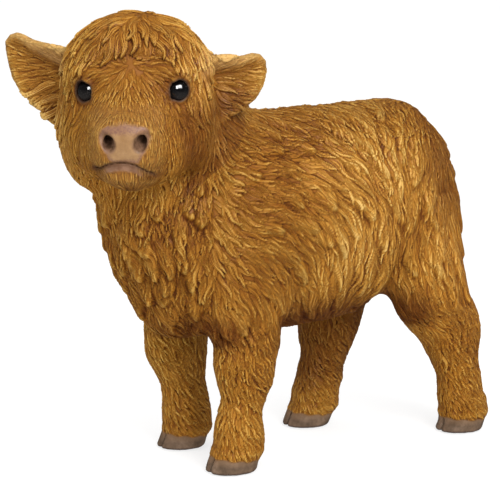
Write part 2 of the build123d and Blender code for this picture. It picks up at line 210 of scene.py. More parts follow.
HEAD_LOFT = Loft(HEAD_O, HL, HU, HF, [
 (-28,-1,4,34,36,36),(-14,-1,4,41,42,42),(2,-1,4,44.5,44,44),(16,0,2,42.5,41,44),(27,0,-2,37.5,32.5,42),(36,0,-7,30.5,26,36),(45,0,-11,24.5,20,30),(54,0,-15,20.5,13.5,25)],
 cap0=14, cap1=9)

# the eye: centre, and its own axes (towards the tear corner, up, outwards), in (f, |l|, u)
EYE_C = np.array([28.8, 26.2, 10.4]); EYE_R = 7.6; EYE_MID = 0.5
EYE_3 = np.array([0.80, 0.60, 0.02]); EYE_3 /= np.linalg.norm(EYE_3)
EYE_2 = np.array([0.0, 0.0, 1.0]) - 0.02 * EYE_3; EYE_2 /= np.linalg.norm(EYE_2)
EYE_1 = np.cross(EYE_2, EYE_3); EYE_1 = EYE_1 if EYE_1[0] > 0 else -EYE_1

# the line of the mouth, in (l, u)
MOUTH = table_of([-26, -21.5, -18, -10.3, -3, 4.3, 9.7, 16.6, 21], [-33.4, -33.2, -32.4, -28.9, -27.6, -28.9, -32.0, -36.4, -38.2])


def eye_local(S):
    q = S - EYE_C
    return q @ EYE_1, q @ EYE_2, q @ EYE_3


def eye_opening(x, y):
    """Signed distance in the plane of the lids: a round opening with a tear corner."""
    x = x - 1.1; y = y - 0.2
    k0 = np.sqrt((x / 5.6) ** 2 + (y / 6.2) ** 2) + 1e-9
    k1 = np.sqrt((x / 5.6**2) ** 2 + (y / 6.2**2) ** 2) + 1e-9
    d = k0 * (k0 - 1) / k1
    ax, ay, bx, by = 1.6, -2.2, 4.6, -3.8
    px, py = x - ax, y - ay
    h = np.clip((px*(bx-ax) + py*(by-ay)) / ((bx-ax)**2 + (by-ay)**2), 0, 1)
    t = np.sqrt((px - (bx-ax)*h) ** 2 + (py - (by-ay)*h) ** 2) - (2.4 - 1.6*h)
    return smin(d, t, 1.6)


def nose_pad(H):
    """Signed distance, in (l, u), of the bare pad between and around the nostrils."""
    l, u = np.abs(H[:, 1]), H[:, 2]
    # a rounded shield: wide at the nostrils, narrow at the lip
    half = np.interp(u, [-32, -27, -24, -20, -16, -12, -9, -7, -5], [5.0, 8.6, 10.6, 12.8, 15.0, 15.6, 15.0, 13.0, 8.0])
    return np.maximum(np.maximum(l - half, u + 4.2 + 0.02 * l * l * (l < 9)), -28.2 - u)


def nostrils(s):
    q = (s - (60, 9.2, -15.6)) * (1, 1.12, 0.86) + (60, 9.2, -15.6)
    return rcone(q, (67, 9.0, -16.8), (52, 11.4, -13.4), 4.3, 2.1)


def d_head(P):
    H = head_co(P)
    d = HEAD_LOFT(P)
    A = np.abs(H[:, 1])
    S = np.stack([H[:, 0], A, H[:, 2]], 1)
    E_ = np.stack([H[:, 0], np.abs(H[:, 1] - EYE_MID), H[:, 2]], 1)
    d = smin(d, ell(H, (-3, -2, 20), (38, 42.5, 32)), 6)                 # forelock mass
    d = smin(d, ell(H, (12, -15, 33), (16, 14, 13)), 7)
    d = smin(d, ell(H, (12, 21, 32), (16, 14, 13)), 7)
    d = smin(d, ell(H, (-5, -2.8, 12.5), (30, 45.2, 41.0)), 4)
    d = smin(d, ell(S, (30, 21, -26), (17, 12.5, 17)), 8)                # jowls
    d = smin(d, rcone(H, (24, 0, -2), (46, 0, -16.5), 25, 17.5), 6)
    d = smin(d, ell(S, (8, 31, -16), (24, 15, 27)), 9)                   # cheeks
    d = smin(d, ell(S, (24, 23, 20.5), (11.5, 13, 7.5)), 8)                    # brows
    d = smin(d, ell(H, (-11, -31, -22), (24, 23, 37)), 10)
    d = smin(d, ell(S, (46, 8, -22), (16.5, 14.5, 13.5)), 7)                 # lip pads
    d = smin(d, ell(H, (55.5, 0, -13), (9.5, 17, 11)), 5)                # nose
    d = smin(d, ell(H, (47, 0, -37), (13, 16.5, 9)), 5)                  # chin
    d = smin(d, ell(H, (28, 0, -35), (24, 21, 15)), 8)
    m = (H[:, 0] > 4) & (d < 14)
    if m.any():
        h, s, es, dd = H[m], S[m], E_[m], d[m]
        # lids and the hollow before the eye
        x, y, z = eye_local(es)
        r = np.sqrt(x*x + y*y + z*z)
        dd = smin(dd, r - (EYE_R + 1.5), 3.0)
        up = rcone(es, EYE_C + 5.6*EYE_3 - 4.6*EYE_1 + 6.2*EYE_2, EYE_C + 6.2*EYE_3 + 3.6*EYE_1 + 6.6*EYE_2, 1.7, 1.6)
        dd = smin(dd, up, 2.5)
        op = eye_opening(x, y)
        dd = smax(dd, -np.maximum(op, 1.5 - z), 0.8)
        # nostrils
        dd = smin(dd, ell(s, (57.0, 13.0, -10.6), (5.5, 4.6, 3.0)), 3)
        dd = smin(dd, ell(s, (58.0, 14.2, -17.5), (3.6, 2.4, 5.0)), 3)
        dd = smax(dd, -nostrils(s), 2.0)
        dd = smax(dd, -rcone(s, (66.2, 10.4, -14.6), (63.4, 13.6, -10.8), 2.9, 1.8), 3.6)
        # mouth: a slit, with the lower lip rolled out under it
        um = np.interp(h[:, 1], *MOUTH)
        du = h[:, 2] - um
        w = sstep(22.0, 16.5, np.abs(h[:, 1] + 3.8)) * sstep(36, 44, h[:, 0])
        lip = ell(np.stack([h[:, 0], h[:, 1], du], 1), (52.3, -2.6, -3.0), (6.4, 10.5, 2.3))
        dd = smin(dd, lip, 2.2)
        g = np.maximum(np.abs(du) - 0.25, -dd - 1.6 * w + 3.0 * (1 - w))
        dd = smax(dd, -g, 1.5)
        # parting of the forelock
        dd = smax(dd, -rcone(h, (35, 5.2, 39), (6, 4.0, 56), 0.3, 1.5), 2.6)
        d[m] = dd
    return d


EARS = {
 'ear_right': dict(poly=[(-40,29),(-49.8,30.6),(-59.7,32.9),(-69.7,34.5),(-75.6,37.2),(-80.8,38.4),(-85.2,37.0),(-88.2,33.2),(-88.8,27.7),(-87.0,18.9),(-84.3,11.0),(-79.5,3.9),(-72.4,-2.8),(-65.9,-7.0),(-62.5,-12.6),(-57,-16.3),(-48,-16),(-34,-4.9)],
                   base=(-40,8), tip=(-84,32), back=-8.0, lean=0.30),
 'ear_left':  dict(poly=[(32,22),(40.3,23.9),(49.3,24.3),(60.0,23.1),(67.2,24.2),(72.0,23.3),(75.2,19.0),(75.6,12.2),(73.3,3.6),(68.8,-3.7),(63.3,-8.3),(57.1,-12.3),(49.2,-15.3),(40.8,-16.3),(30,-10.1)],
                   base=(36,4), tip=(75,16), back=-8.0, lean=0.30),
}


def poly_sdf(x, y, poly):
    poly = np.asarray(poly, float); n = len(poly)
    d = np.full(len(x), 1e18); s = np.ones(len(x))
    for i in range(n):
        j = (i - 1) % n
        ex, ey = poly[j] - poly[i]
        wx, wy = x - poly[i, 0], y - poly[i, 1]
        t = np.clip((wx*ex + wy*ey) / (ex*ex + ey*ey), 0, 1)
        bx, by = wx - ex*t, wy - ey*t
        d = np.minimum(d, bx*bx + by*by)
        c1 = y >= poly[i, 1]; c2 = y < poly[j, 1]; c3 = ex*wy > ey*wx
        s = np.where((c1 & c2 & c3) | (~c1 & ~c2 & ~c3), -s, s)
    return s * np.sqrt(d)


def ear_fields(H, side):
    """The ear's sheet: distance inside its outline, depth of its middle, and how far along it."""
    E = EARS[side]
    f, l, u = H.T
    b, t = np.array(E['base'], float), np.array(E['tip'], float)
    ln = np.linalg.norm(t - b); ax = (t - b) / ln
    a = (l - b[0])*ax[0] + (u - b[1])*ax[1]
    dp = poly_sdf(l, u, E['poly']) + 0.2
    rim = np.clip(1 + dp / 16.0, 0, 1) ** 2
    top = sstep(-4, 14, u - (b[1] + (t[1]-b[1]) * np.clip(a/ln, 0, 1)) + 4)
    zc = f - (E['back'] - E['lean']*a + (8.0 + 3.5*top)*rim*np.clip(1.2-a/ln, 0.25, 1) - 6.0)
    return dp, zc, a / ln


def d_ear(P, side):
    E = EARS[side]
    H = head_co(P)
    f, l, u = H.T
    d0 = np.maximum(np.maximum(np.abs(l - np.sign(E['tip'][0])*56) - 36, np.abs(u) - 46), np.abs(f + 10) - 36)
    out = np.where(d0 > 0, d0 + 4.0, 4.0)
    m = d0 < 12
    if m.any():
        dp, zc, _ = ear_fields(H[m], side)
        v = smax(np.abs(zc)*0.9 - 2.9, dp, 4.0)
        out[m] = np.where(d0[m] > 4, np.maximum(v, d0[m]), v)
    return out


HOOF_H = 9.8


def d_legs(P, d):
    z = P[:, 2]
    for k, L in LEG_LOFT.items():
        m = z < 166
        q = P[m]
        dl = L(q)
        low = q[:, 2] < 20
        if low.any():
            r0 = LEGS[k]
            p = q[low]
            cx = np.interp(p[:, 2], [r[0] for r in r0], [r[1] for r in r0])
            fy = np.interp(p[:, 2], [r[0] for r in r0], [r[2] - r[5] for r in r0])
            # the hoof flares to a hard edge at the ground and is split in front
            wid = np.maximum(np.maximum(np.abs(p[:, 0] - cx) - (0.35 + 0.10*np.clip(6 - (p[:, 1] - fy), 0, 6)), (p[:, 1] - fy) - 7.5), p[:, 2] - HOOF_H)
            coronet = 0.8 * np.exp(-((p[:, 2] - HOOF_H - 2.5) / 2.2) ** 2)
            dl[low] = smax(dl[low] - coronet, -wid, 1.4)
        dd = d[m]
        d[m] = smin(dd, dl, 8)
    return d


def sdf(P, ears=True, tail=True):
    P = np.asarray(P, float)
    d = d_body(P)
    m = P[:, 1] < 30
    if m.any():
        d[m] = smin(d[m], d_neck(P[m]), 16)
    m = (np.abs(P - HEAD_O) < 100).all(1)
    if m.any():
        d[m] = smin(d[m], d_head(P[m]), 8)
    d = d_legs(P, d)
    if tail:
        m = P[:, 1] > 100
        if m.any():
            d[m] = smin(d[m], TAIL(P[m]), 3)
    if ears:
        m = (np.abs(P - HEAD_O) < 110).all(1)
        if m.any():
            dm = d[m]
            for e in EARS:
                dm = smin(dm, d_ear(P[m], e), 5)
            d[m] = dm
    return np.maximum(d, -P[:, 2])


# ---------- a surface from the field ----------
def sparse_grid(fn, lo, hi, h, coarse=5, band=1.9):
    lo = np.asarray(lo, float); hi = np.asarray(hi, float)
    n = (np.ceil((hi - lo) / h / coarse).astype(int)) * coarse + 1
    nc = (n - 1) // coarse + 1
    gx, gy, gz = [lo[i] + h * coarse * np.arange(nc[i]) for i in range(3)]
    C = np.stack(np.meshgrid(gx, gy, gz, indexing='ij'), -1).reshape(-1, 3)
    dc = fn(C).reshape(nc)
    near = np.abs(dc) < h * coarse * band
    cell = np.zeros(nc - 1, bool)
    for i in (0, 1):
        for j in (0, 1):
            for k in (0, 1):
                cell |= near[i:nc[0]-1+i, j:nc[1]-1+j, k:nc[2]-1+k]
    s = np.repeat(np.repeat(np.repeat(dc, coarse, 0), coarse, 1), coarse, 2)[:n[0], :n[1], :n[2]]
    F = s.astype(np.float32)
    act = np.zeros(n, bool)
    ci = np.argwhere(cell)
    off = np.stack(np.meshgrid(*[np.arange(coarse + 1)] * 3, indexing='ij'), -1).reshape(-1, 3)
    for st in range(0, len(ci), 4000):
        b = (ci[st:st+4000, None, :] * coarse + off[None]).reshape(-1, 3)
        act[b[:, 0], b[:, 1], b[:, 2]] = True
    idx = np.argwhere(act)
    for st in range(0, len(idx), 300000):
        b = idx[st:st+300000]
        F[b[:, 0], b[:, 1], b[:, 2]] = fn(lo + h * b)
    return F, lo, h


def surface_nets(F, lo, h):
    neg = F < 0
    n = np.array(F.shape)
    m = n - 1
    cnt = np.zeros(m, np.uint8)
    for i in (0, 1):
        for j in (0, 1):
            for k in (0, 1):
                cnt += neg[i:m[0]+i, j:m[1]+j, k:m[2]+k]
    cells = np.argwhere((cnt > 0) & (cnt < 8))
    vid = -np.ones(m, np.int32)
    vid[cells[:, 0], cells[:, 1], cells[:, 2]] = np.arange(len(cells))
    corners = np.array([[i, j, k] for i in (0, 1) for j in (0, 1) for k in (0, 1)])
    fv = np.stack([F[cells[:, 0]+c[0], cells[:, 1]+c[1], cells[:, 2]+c[2]] for c in corners], 1).astype(float)
    acc = np.zeros((len(cells), 3)); num = np.zeros(len(cells))
    for a in range(8):
        for b in range(a + 1, 8):
            if np.abs(corners[a] - corners[b]).sum() != 1:
                continue
            fa, fb = fv[:, a], fv[:, b]
            x = (fa < 0) != (fb < 0)
            t = np.where(x, fa / np.where(x, fa - fb, 1), 0)
            p = corners[a] + t[:, None] * (corners[b] - corners[a])
            acc += np.where(x[:, None], p, 0); num += x
    V = lo + h * (cells + acc / num[:, None])
    quads = []
    for ax in range(3):
        o1, o2 = (ax + 1) % 3, (ax + 2) % 3
        sl0 = [slice(1, n[i] - 1) for i in range(3)]; sl1 = [slice(1, n[i] - 1) for i in range(3)]
        sl0[ax] = slice(0, n[ax] - 1); sl1[ax] = slice(1, n[ax])
        a, b = neg[tuple(sl0)], neg[tuple(sl1)]
        e = np.argwhere(a != b)
        base = np.array([1, 1, 1]); base[ax] = 0
        e = e + base
        flip = ~neg[e[:, 0], e[:, 1], e[:, 2]]
        d1 = np.zeros(3, int); d1[o1] = 1
        d2 = np.zeros(3, int); d2[o2] = 1
        q = []
        for dd in (np.zeros(3, int), d1, d1 + d2, d2):
            c = e - dd
            q.append(vid[c[:, 0], c[:, 1], c[:, 2]])
        q = np.stack(q, 1)
        q[flip] = q[flip][:, ::-1]
        quads.append(q)
    return V, np.concatenate(quads)


def mesh_from(name, V, Q):
    me = bpy.data.meshes.new(name)
    me.vertices.add(len(V)); me.vertices.foreach_set('co', np.asarray(V, np.float32).ravel())
    me.loops.add(Q.size); me.loops.foreach_set('vertex_index', Q.ravel().astype(np.int32))
    me.polygons.add(len(Q)); me.polygons.foreach_set('loop_start', np.arange(0, Q.size, Q.shape[1], dtype=np.int32))
    me.update(calc_edges=True)
    return me


def subdivided(V, Q):
    """One Catmull-Clark step."""
    me = mesh_from('tmp', V, Q)
    ob = bpy.data.objects.new('tmp', me); bpy.context.scene.collection.objects.link(ob)
    md = ob.modifiers.new('s', 'SUBSURF'); md.levels = 1; md.render_levels = 1
    dg = bpy.context.evaluated_depsgraph_get()
    ev = ob.evaluated_get(dg); m2 = ev.to_mesh()
    co = np.zeros(len(m2.vertices) * 3, np.float32); m2.vertices.foreach_get('co', co)
    li = np.zeros(len(m2.loops), np.int32); m2.loops.foreach_get('vertex_index', li)
    ev.to_mesh_clear()
    bpy.data.objects.remove(ob); bpy.data.meshes.remove(me)
    return co.reshape(-1, 3).astype(float), li.reshape(-1, 4)


class Net:
    """Vertex neighbourhoods of a quad mesh."""
    def __init__(self, V, Q):
        self.Q = Q; self.n = len(V)
        e = np.concatenate([Q[:, [0, 1]], Q[:, [1, 2]], Q[:, [2, 3]], Q[:, [3, 0]]])
        e = np.sort(e, 1)
        key = np.unique(e[:, 0].astype(np.int64) * self.n + e[:, 1])
        self.a = (key // self.n).astype(np.int64); self.b = (key % self.n).astype(np.int64)
        self.deg = np.bincount(self.a, minlength=self.n) + np.bincount(self.b, minlength=self.n)

    def mean(self, X):
        X = np.asarray(X, float)
        if X.ndim == 1:
            s = np.bincount(self.a, X[self.b], self.n) + np.bincount(self.b, X[self.a], self.n)
            return s / self.deg
        return np.stack([self.mean(X[:, i]) for i in range(X.shape[1])], 1)

    def blur(self, X, times, f=0.5):
        for _ in range(times):
            X = X * (1 - f) + self.mean(X) * f
        return X

    def normals(self, V):
        q = self.Q
        c = np.cross(V[q[:, 2]] - V[q[:, 0]], V[q[:, 3]] - V[q[:, 1]])
        n = np.zeros((self.n, 3))
        for i in range(3):
            for k in range(4):
                n[:, i] += np.bincount(q[:, k], c[:, i], self.n)
        return unit_rows(n)

    def areas(self, V):
        q = self.Q
        c = 0.5 * np.linalg.norm(np.cross(V[q[:, 2]] - V[q[:, 0]], V[q[:, 3]] - V[q[:, 1]]), axis=1)
        a = np.zeros(self.n)
        for k in range(4):
            a += np.bincount(q[:, k], c / 4, self.n)
        return a


# ---------- smooth random fields ----------
def hash01(i, j, k, seed):
    n = (i.astype(np.uint64) * np.uint64(374761393) + j.astype(np.uint64) * np.uint64(668265263)
         + k.astype(np.uint64) * np.uint64(2246822519) + np.uint64(seed * 3266489917 + 12345)) & np.uint64(0xffffffff)
    n = ((n ^ (n >> np.uint64(15))) * np.uint64(2654435761)) & np.uint64(0xffffffff)
    n = ((n ^ (n >> np.uint64(13))) * np.uint64(3266489917)) & np.uint64(0xffffffff)
    n = n ^ (n >> np.uint64(16))
    return n.astype(float) / 4294967295.0


def vnoise(P, size, seed):
    """Smooth noise from -1 to 1, with features of about that size."""
    q = P / size + 500.0
    i = np.floor(q).astype(np.int64); f = q - i
    f = f * f * (3 - 2 * f)
    out = 0
    for a in (0, 1):
        for b in (0, 1):
            for c in (0, 1):
                w = (f[:, 0] if a else 1 - f[:, 0]) * (f[:, 1] if b else 1 - f[:, 1]) * (f[:, 2] if c else 1 - f[:, 2])
                out = out + w * hash01(i[:, 0] + a, i[:, 1] + b, i[:, 2] + c, seed)
    return out * 2 - 1


def trilinear(F, lo, h, P):
    q = (P - lo) / h
    n = np.array(F.shape)
    q = np.clip(q, 0, n - 1.001)
    i = q.astype(int); f = q - i
    out = 0
    for a in (0, 1):
        for b in (0, 1):
            for c in (0, 1):
                w = (f[:, 0] if a else 1 - f[:, 0]) * (f[:, 1] if b else 1 - f[:, 1]) * (f[:, 2] if c else 1 - f[:, 2])
                out = out + w * F[i[:, 0] + a, i[:, 1] + b, i[:, 2] + c]
    return out


# ---------- which way the coat lies ----------
GUIDE = np.array([  # y, z, and the direction there on the flank
 (-75,205,.75,-.45),(-60,200,.85,-.35),(-60,160,.65,-.75),(-60,120,.35,-.95),(-35,215,.95,-.1),(-25,195,.95,-.25),(-25,160,.9,-.35),(-22,125,.7,-.65),(-25,95,.2,-1),
 (10,212,.85,-.35),(8,185,.9,-.45),(8,160,.75,-.6),(12,130,.5,-.85),(12,100,.35,-.9),
 (35,208,.5,-.75),(35,185,.6,-.75),(35,160,.45,-.85),(38,125,.12,-1),(38,95,.1,-1),
 (62,208,.05,-.95),(62,180,.45,-.85),(62,150,.1,-1),(62,115,-.15,-1),(62,95,-.1,-1),
 (88,208,-.5,-.8),(86,180,-.35,-.9),(84,150,.05,-1),(84,120,.15,-1),
 (108,200,-.5,-.8),(108,178,-.25,-.95),(108,150,.3,-.95),(112,122,.35,-.9),(116,100,.2,-1),
 (130,195,-.1,-1),(132,170,.05,-1),(138,145,.12,-1),(132,115,.1,-1)], float)


def fringe(l):
    """Height at which the forelock's fringe ends, across the forehead and down beside the eyes."""
    return np.interp(np.abs(l - 0.5), [0, 8, 16, 24, 29, 35, 60], [34, 32.5, 30.5, 29, 21, -6, -8])


def flow(P, fore=False):
    x, y, z = P.T
    H = head_co(P)
    f, l, u = H.T
    al = np.abs(l)
    # flanks, from the guide vectors
    w = np.exp(-((y[:, None] - GUIDE[:, 0]) ** 2 + (z[:, None] - GUIDE[:, 1]) ** 2) / (2 * 13.0 ** 2)) + 1e-12
    w /= w.sum(1, keepdims=True)
    D = np.stack([np.zeros(len(P)), w @ GUIDE[:, 2], w @ GUIDE[:, 3]], 1)
    side = np.tanh(x / 6.0)
    top = sstep(196, 216, z) * sstep(-60, -30, y)
    D[:, 0] += 0.75 * top * side
    # chest: straight down
    front = sstep(-46, -72, y) * sstep(230, 185, z)
    D = D * (1 - front[:, None]) + front[:, None] * np.stack([0.12 * np.ones(len(P)), 0.0 * x, -1.0 + 0 * x], 1)
    # under the belly: backwards
    under = sstep(100, 86, z) * sstep(30, 12, np.abs(x)) * sstep(-70, -30, y)
    D = D * (1 - under[:, None]) + under[:, None] * np.array([0.0, 0.9, -0.3])
    # legs: a chevron from the front midline
    for k, r0 in LEGS.items():
        zs = [r[0] for r in r0]
        cx = np.interp(z, zs, [r[1] for r in r0]); cy = np.interp(z, zs, [r[2] for r in r0])
        r = np.hypot(x - cx, y - cy)
        m = sstep(104, 84, z) * sstep(34, 28, r)
        th = np.arctan2(x - cx, -(y - cy))
        s = np.sin(th)
        dl = np.stack([0.75 * s * np.cos(th), 0.75 * s * np.sin(th), -np.ones(len(P))], 1)
        D = D * (1 - m[:, None]) + dl * m[:, None]
    # tail
    m = sstep(14, 9, np.abs(x)) * sstep(128, 138, y) * sstep(90, 100, z)
    D = D * (1 - m[:, None]) + m[:, None] * np.stack([0.25 * side, 0 * y + 0.05, -1 + 0 * z], 1)
    # head
    wh = sstep(-9, 6, (P - NECK_P) @ NECK_N) * (np.abs(P - HEAD_O).max(1) < 110)
    if (wh > 0).any():
        r = np.stack([f - 29, l + 0.5, u - 24], 1)
        R = np.linalg.norm(r, axis=1)
        F0 = unit_rows(r)
        F0[:, 2] -= 0.55 * sstep(14, 34, R)
        F0[:, 0] -= 0.25 * sstep(24, 32, al) * sstep(8, -8, u)
        C0 = unit_rows(np.stack([f + 2, l - 4.2, (u - 57) * 1.0], 1))
        C0[:, 2] -= 0.45 + 1.3 * sstep(14, 32, al)
        C0[:, 1] += 0.12 * np.tanh((l - 4.5) / 3.0) * sstep(26, 40, u)
        ub = fringe(l) + 2.2 * vnoise(P, 9.0, 77)
        wc = np.maximum(sstep(-2.5, 2.5, u - ub), sstep(16, 8, f))
        if fore:
            wc = np.ones(len(P))
        D2 = F0 * (1 - wc[:, None]) + C0 * wc[:, None]
        jaw = sstep(-14, -26, u) * sstep(47, 38, f) * (not fore)
        J = np.stack([-0.18 + 0 * f, 0.05 * np.sign(l), -1 + 0 * u], 1)
        D2 = D2 * (1 - jaw[:, None]) + J * jaw[:, None]
        back = sstep(-8, -24, f)
        D2[:, 0] -= 0.5 * back
        for e, bf, bl, bu, sg in (('ear_right', -10, -35, 17, -1), ('ear_left', -10, 31, 12, 1)):
            m = sstep(39.5, 45, sg * l) * sstep(14, 6, f) * (not fore)
            r = unit_rows(np.stack([0 * f, l - bl, u - bu], 1))
            r[:, 1] += 0.35 * sg
            D2 = D2 * (1 - m[:, None]) + r * m[:, None]
        D2 = D2[:, :1] * HF + D2[:, 1:2] * HL + D2[:, 2:] * HU
        D = D * (1 - wh[:, None]) + unit_rows(D2) * wh[:, None]
    return unit_rows(D)


def forelock(P):
    """1 where the long hair of the poll is rooted."""
    f, l, u = head_co(P).T
    return (sstep(7.5, 11.0, u - fringe(l) - 3.0 * vnoise(P, 7.0, 77)) * sstep(17, 25, u) * sstep(-30, -18, f)
            * sstep(43, 39, l) * sstep(-42, -38, l) * np.maximum(sstep(24, 30, u), sstep(-6, 0, f)))


def ear_tufts(P):
    """Where the long hair inside the ears is rooted."""
    f, l, u = head_co(P).T
    a = sstep(41, 45, -l) * sstep(60, 52, -l) * sstep(-12, -5, u) * sstep(21, 14, u)
    b = sstep(35, 39, l) * sstep(54, 46, l) * sstep(-6, 0, u) * sstep(15, 9, u)
    return np.maximum(a, b) * sstep(15, 10, f)


def ear_band(l, u, f):
    """The smooth fold along the ears' upper edge."""
    top = np.where(l < 0, np.interp(-l, [40, 50, 70, 81, 86, 90], [29, 30.6, 34.5, 38.4, 36.5, 30]), np.interp(l, [32, 49, 60, 72, 76], [22, 24.2, 23.6, 23.3, 18]))
    w = np.where(l < 0, np.interp(-l, [40, 50, 74, 84], [13, 12, 5, 2]), np.interp(l, [40, 48, 60, 72], [9, 8, 6, 1.5]))
    return sstep(-w - 2.5, -w + 2.5, u - top) * np.where(l < 0, sstep(41, 51, -l), sstep(37, 45, l))


# ---------- how coarse the locks are: width, length, height, strands, curl, wildness ----------
def style(P, N):
    x, y, z = P.T
    H = head_co(P); f, l, u = H.T; al = np.abs(l)
    n = len(P)
    S = np.tile([4.4, 28.0, 0.95, 4.0, 0.34, 0.20], (n, 1))

    def put(w, v):
        S[:] = S * (1 - w[:, None]) + np.array(v) * w[:, None]
    put(sstep(22, 0, y), [3.9, 20, .72, 3, .30, .22])                                   # shoulder
    put(sstep(-40, -66, y), [4.4, 20, 1.05, 4, .42, .30])                                # chest
    put(sstep(-30, -50, y) * sstep(112, 98, z), [5.0, 20, 1.5, 4, .5, .38])              # brisket
    put(sstep(74, 90, y) * sstep(140, 165, z), [3.5, 16, .70, 3, .30, .28])             # hips
    put(sstep(84, 100, y) * sstep(160, 140, z), [4.0, 20, .78, 3, .30, .22])            # thigh
    put(sstep(198, 212, z) * sstep(-60, -40, y), [3.8, 14, 1.25, 3, .40, .40])           # back
    put(sstep(100, 88, z) * sstep(34, 20, np.abs(x)), [4.6, 16, 1.2, 3, .4, .3])       # belly
    leg = np.zeros(n)
    for k, r0 in LEGS.items():
        zs = [r[0] for r in r0]
        cx = np.interp(z, zs, [r[1] for r in r0]); cy = np.interp(z, zs, [r[2] for r in r0])
        leg = np.maximum(leg, sstep(110, 88, z) * sstep(36, 29, np.hypot(x - cx, y - cy)))
    put(leg, [3.2, 14, .98, 3, .34, .34])
    put(leg * sstep(46, 22, z), [2.6, 10.5, .72, 2, .26, .26])
    tail = sstep(15, 10, np.abs(x)) * sstep(130, 138, y) * sstep(90, 100, z)
    put(tail, [3.8, 20, 1.2, 3, .35, .2])
    wh = sstep(-4, 4, (P - NECK_P) @ NECK_N) * (np.abs(P - HEAD_O).max(1) < 110)
    put(wh, [3.6, 18, 1.25, 3, .45, .3])                                                 # sides and back of the head
    ub = fringe(l) + 2.2 * vnoise(P, 9.0, 77)
    fore = wh * np.maximum(sstep(-2, 1, u - ub) * sstep(-14, 4, u), 0)
    put(fore, [4.6, 22, 1.5, 4, .30, .22])
    near = fore * sstep(10, 0, u - ub) * sstep(4, 16, f)
    put(near, [3.4, 13, 1.0, 3, .28, .24])
    face = wh * sstep(8, 16, f) * sstep(2, -3, u - ub)
    put(face, [2.6, 11.0, .66, 3, .22, .20])
    put(face * sstep(2, -10, u) * sstep(14, 22, al), [2.9, 13, .95, 3, .28, .24])
    put(face * sstep(30, 38, f) * sstep(16, 8, u), [2.0, 8, .48, 2, .16, .16])
    cheek = wh * sstep(3, -8, u) * sstep(25, 31, al) * sstep(42, 34, f)
    put(cheek, [3.2, 15, .95, 3, .34, .26])
    jaw = wh * sstep(-20, -32, u) * sstep(46, 38, f)
    put(jaw, [3.6, 17, 1.25, 3, .42, .28])
    beard = wh * sstep(-38, -44, u)
    put(beard, [3.9, 17, 1.4, 4, .40, .25])
    put(wh * sstep(43, 50, f) * sstep(6, 0, u) * sstep(-41, -37, u) * sstep(27, 20, al), [1.8, 7.0, .68, 1, .12, .16])   # muzzle
    ear = wh * sstep(40, 46, al) * sstep(12, 6, f)
    put(ear, [2.1, 12, .62, 2, .2, .2])
    put(ear * ear_band(l, u, f), [1.7, 8, .36, 1, .1, .12])
    # the long hair that hangs from the ears' lower edge
    put(ear * sstep(10, -2, u), [3.0, 15, 1.2, 3, .3, .25])
    return S


def bare_mask(P):
    """1 where the resin is bare and smooth: nose, lip, lids, hooves, soles."""
    x, y, z = P.T
    H = head_co(P); f, l, u = H.T
    S = np.stack([f, np.abs(l - EYE_MID), u], 1)
    inhead = (np.abs(P - HEAD_O).max(1) < 110)
    pad = nose_pad(H)
    nose = sstep(1.4, -1.6, pad + 0.9 * vnoise(P, 2.2, 31)) * sstep(47, 52, f) * inhead
    ex, ey, ez = eye_local(S)
    lid = sstep(2.6, 1.2, eye_opening(ex, ey)) * sstep(-1, 1, ez) * (np.sqrt(ex**2+ey**2+ez**2) < 14) * inhead
    um = np.interp(l, *MOUTH); du = u - um
    lip = sstep(1.0, 0.0, du) * sstep(-6.4, -4.2, du + 0.6 * vnoise(P, 2.0, 32)) * sstep(15.5, 9.0, np.abs(l + 2.4) + 1.6) * sstep(44, 49, f) * inhead
    # the mouth line: dark paint along the slit, with painted shade of the lip's crease over it
    line = sstep(3.1, 0.3, np.abs(du + .2)) * sstep(22.5, 17, np.abs(l + 3.8)) * sstep(36, 42, f) * inhead
    # hooves: the hairline dips towards the heel
    hoof = np.zeros(len(P))
    for k, r0 in LEGS.items():
        zs = [r[0] for r in r0]
        cx = np.interp(z, zs, [r[1] for r in r0]); cy = np.interp(z, zs, [r[2] for r in r0])
        r = np.hypot(x - cx, y - cy)
        th = np.arctan2(x - cx, -(y - cy))
        line_z = HOOF_H + 1.4 * np.cos(th) - 1.2 + 0.7 * np.sin(9 * th + cx) * 0.6
        hoof = np.maximum(hoof, sstep(0.7, -0.7, z - line_z) * (r < 26))
    return nose, lid, lip, line, hoof


# ---------- locks of hair, laid over the surface and carved into it ----------
FUR = {}


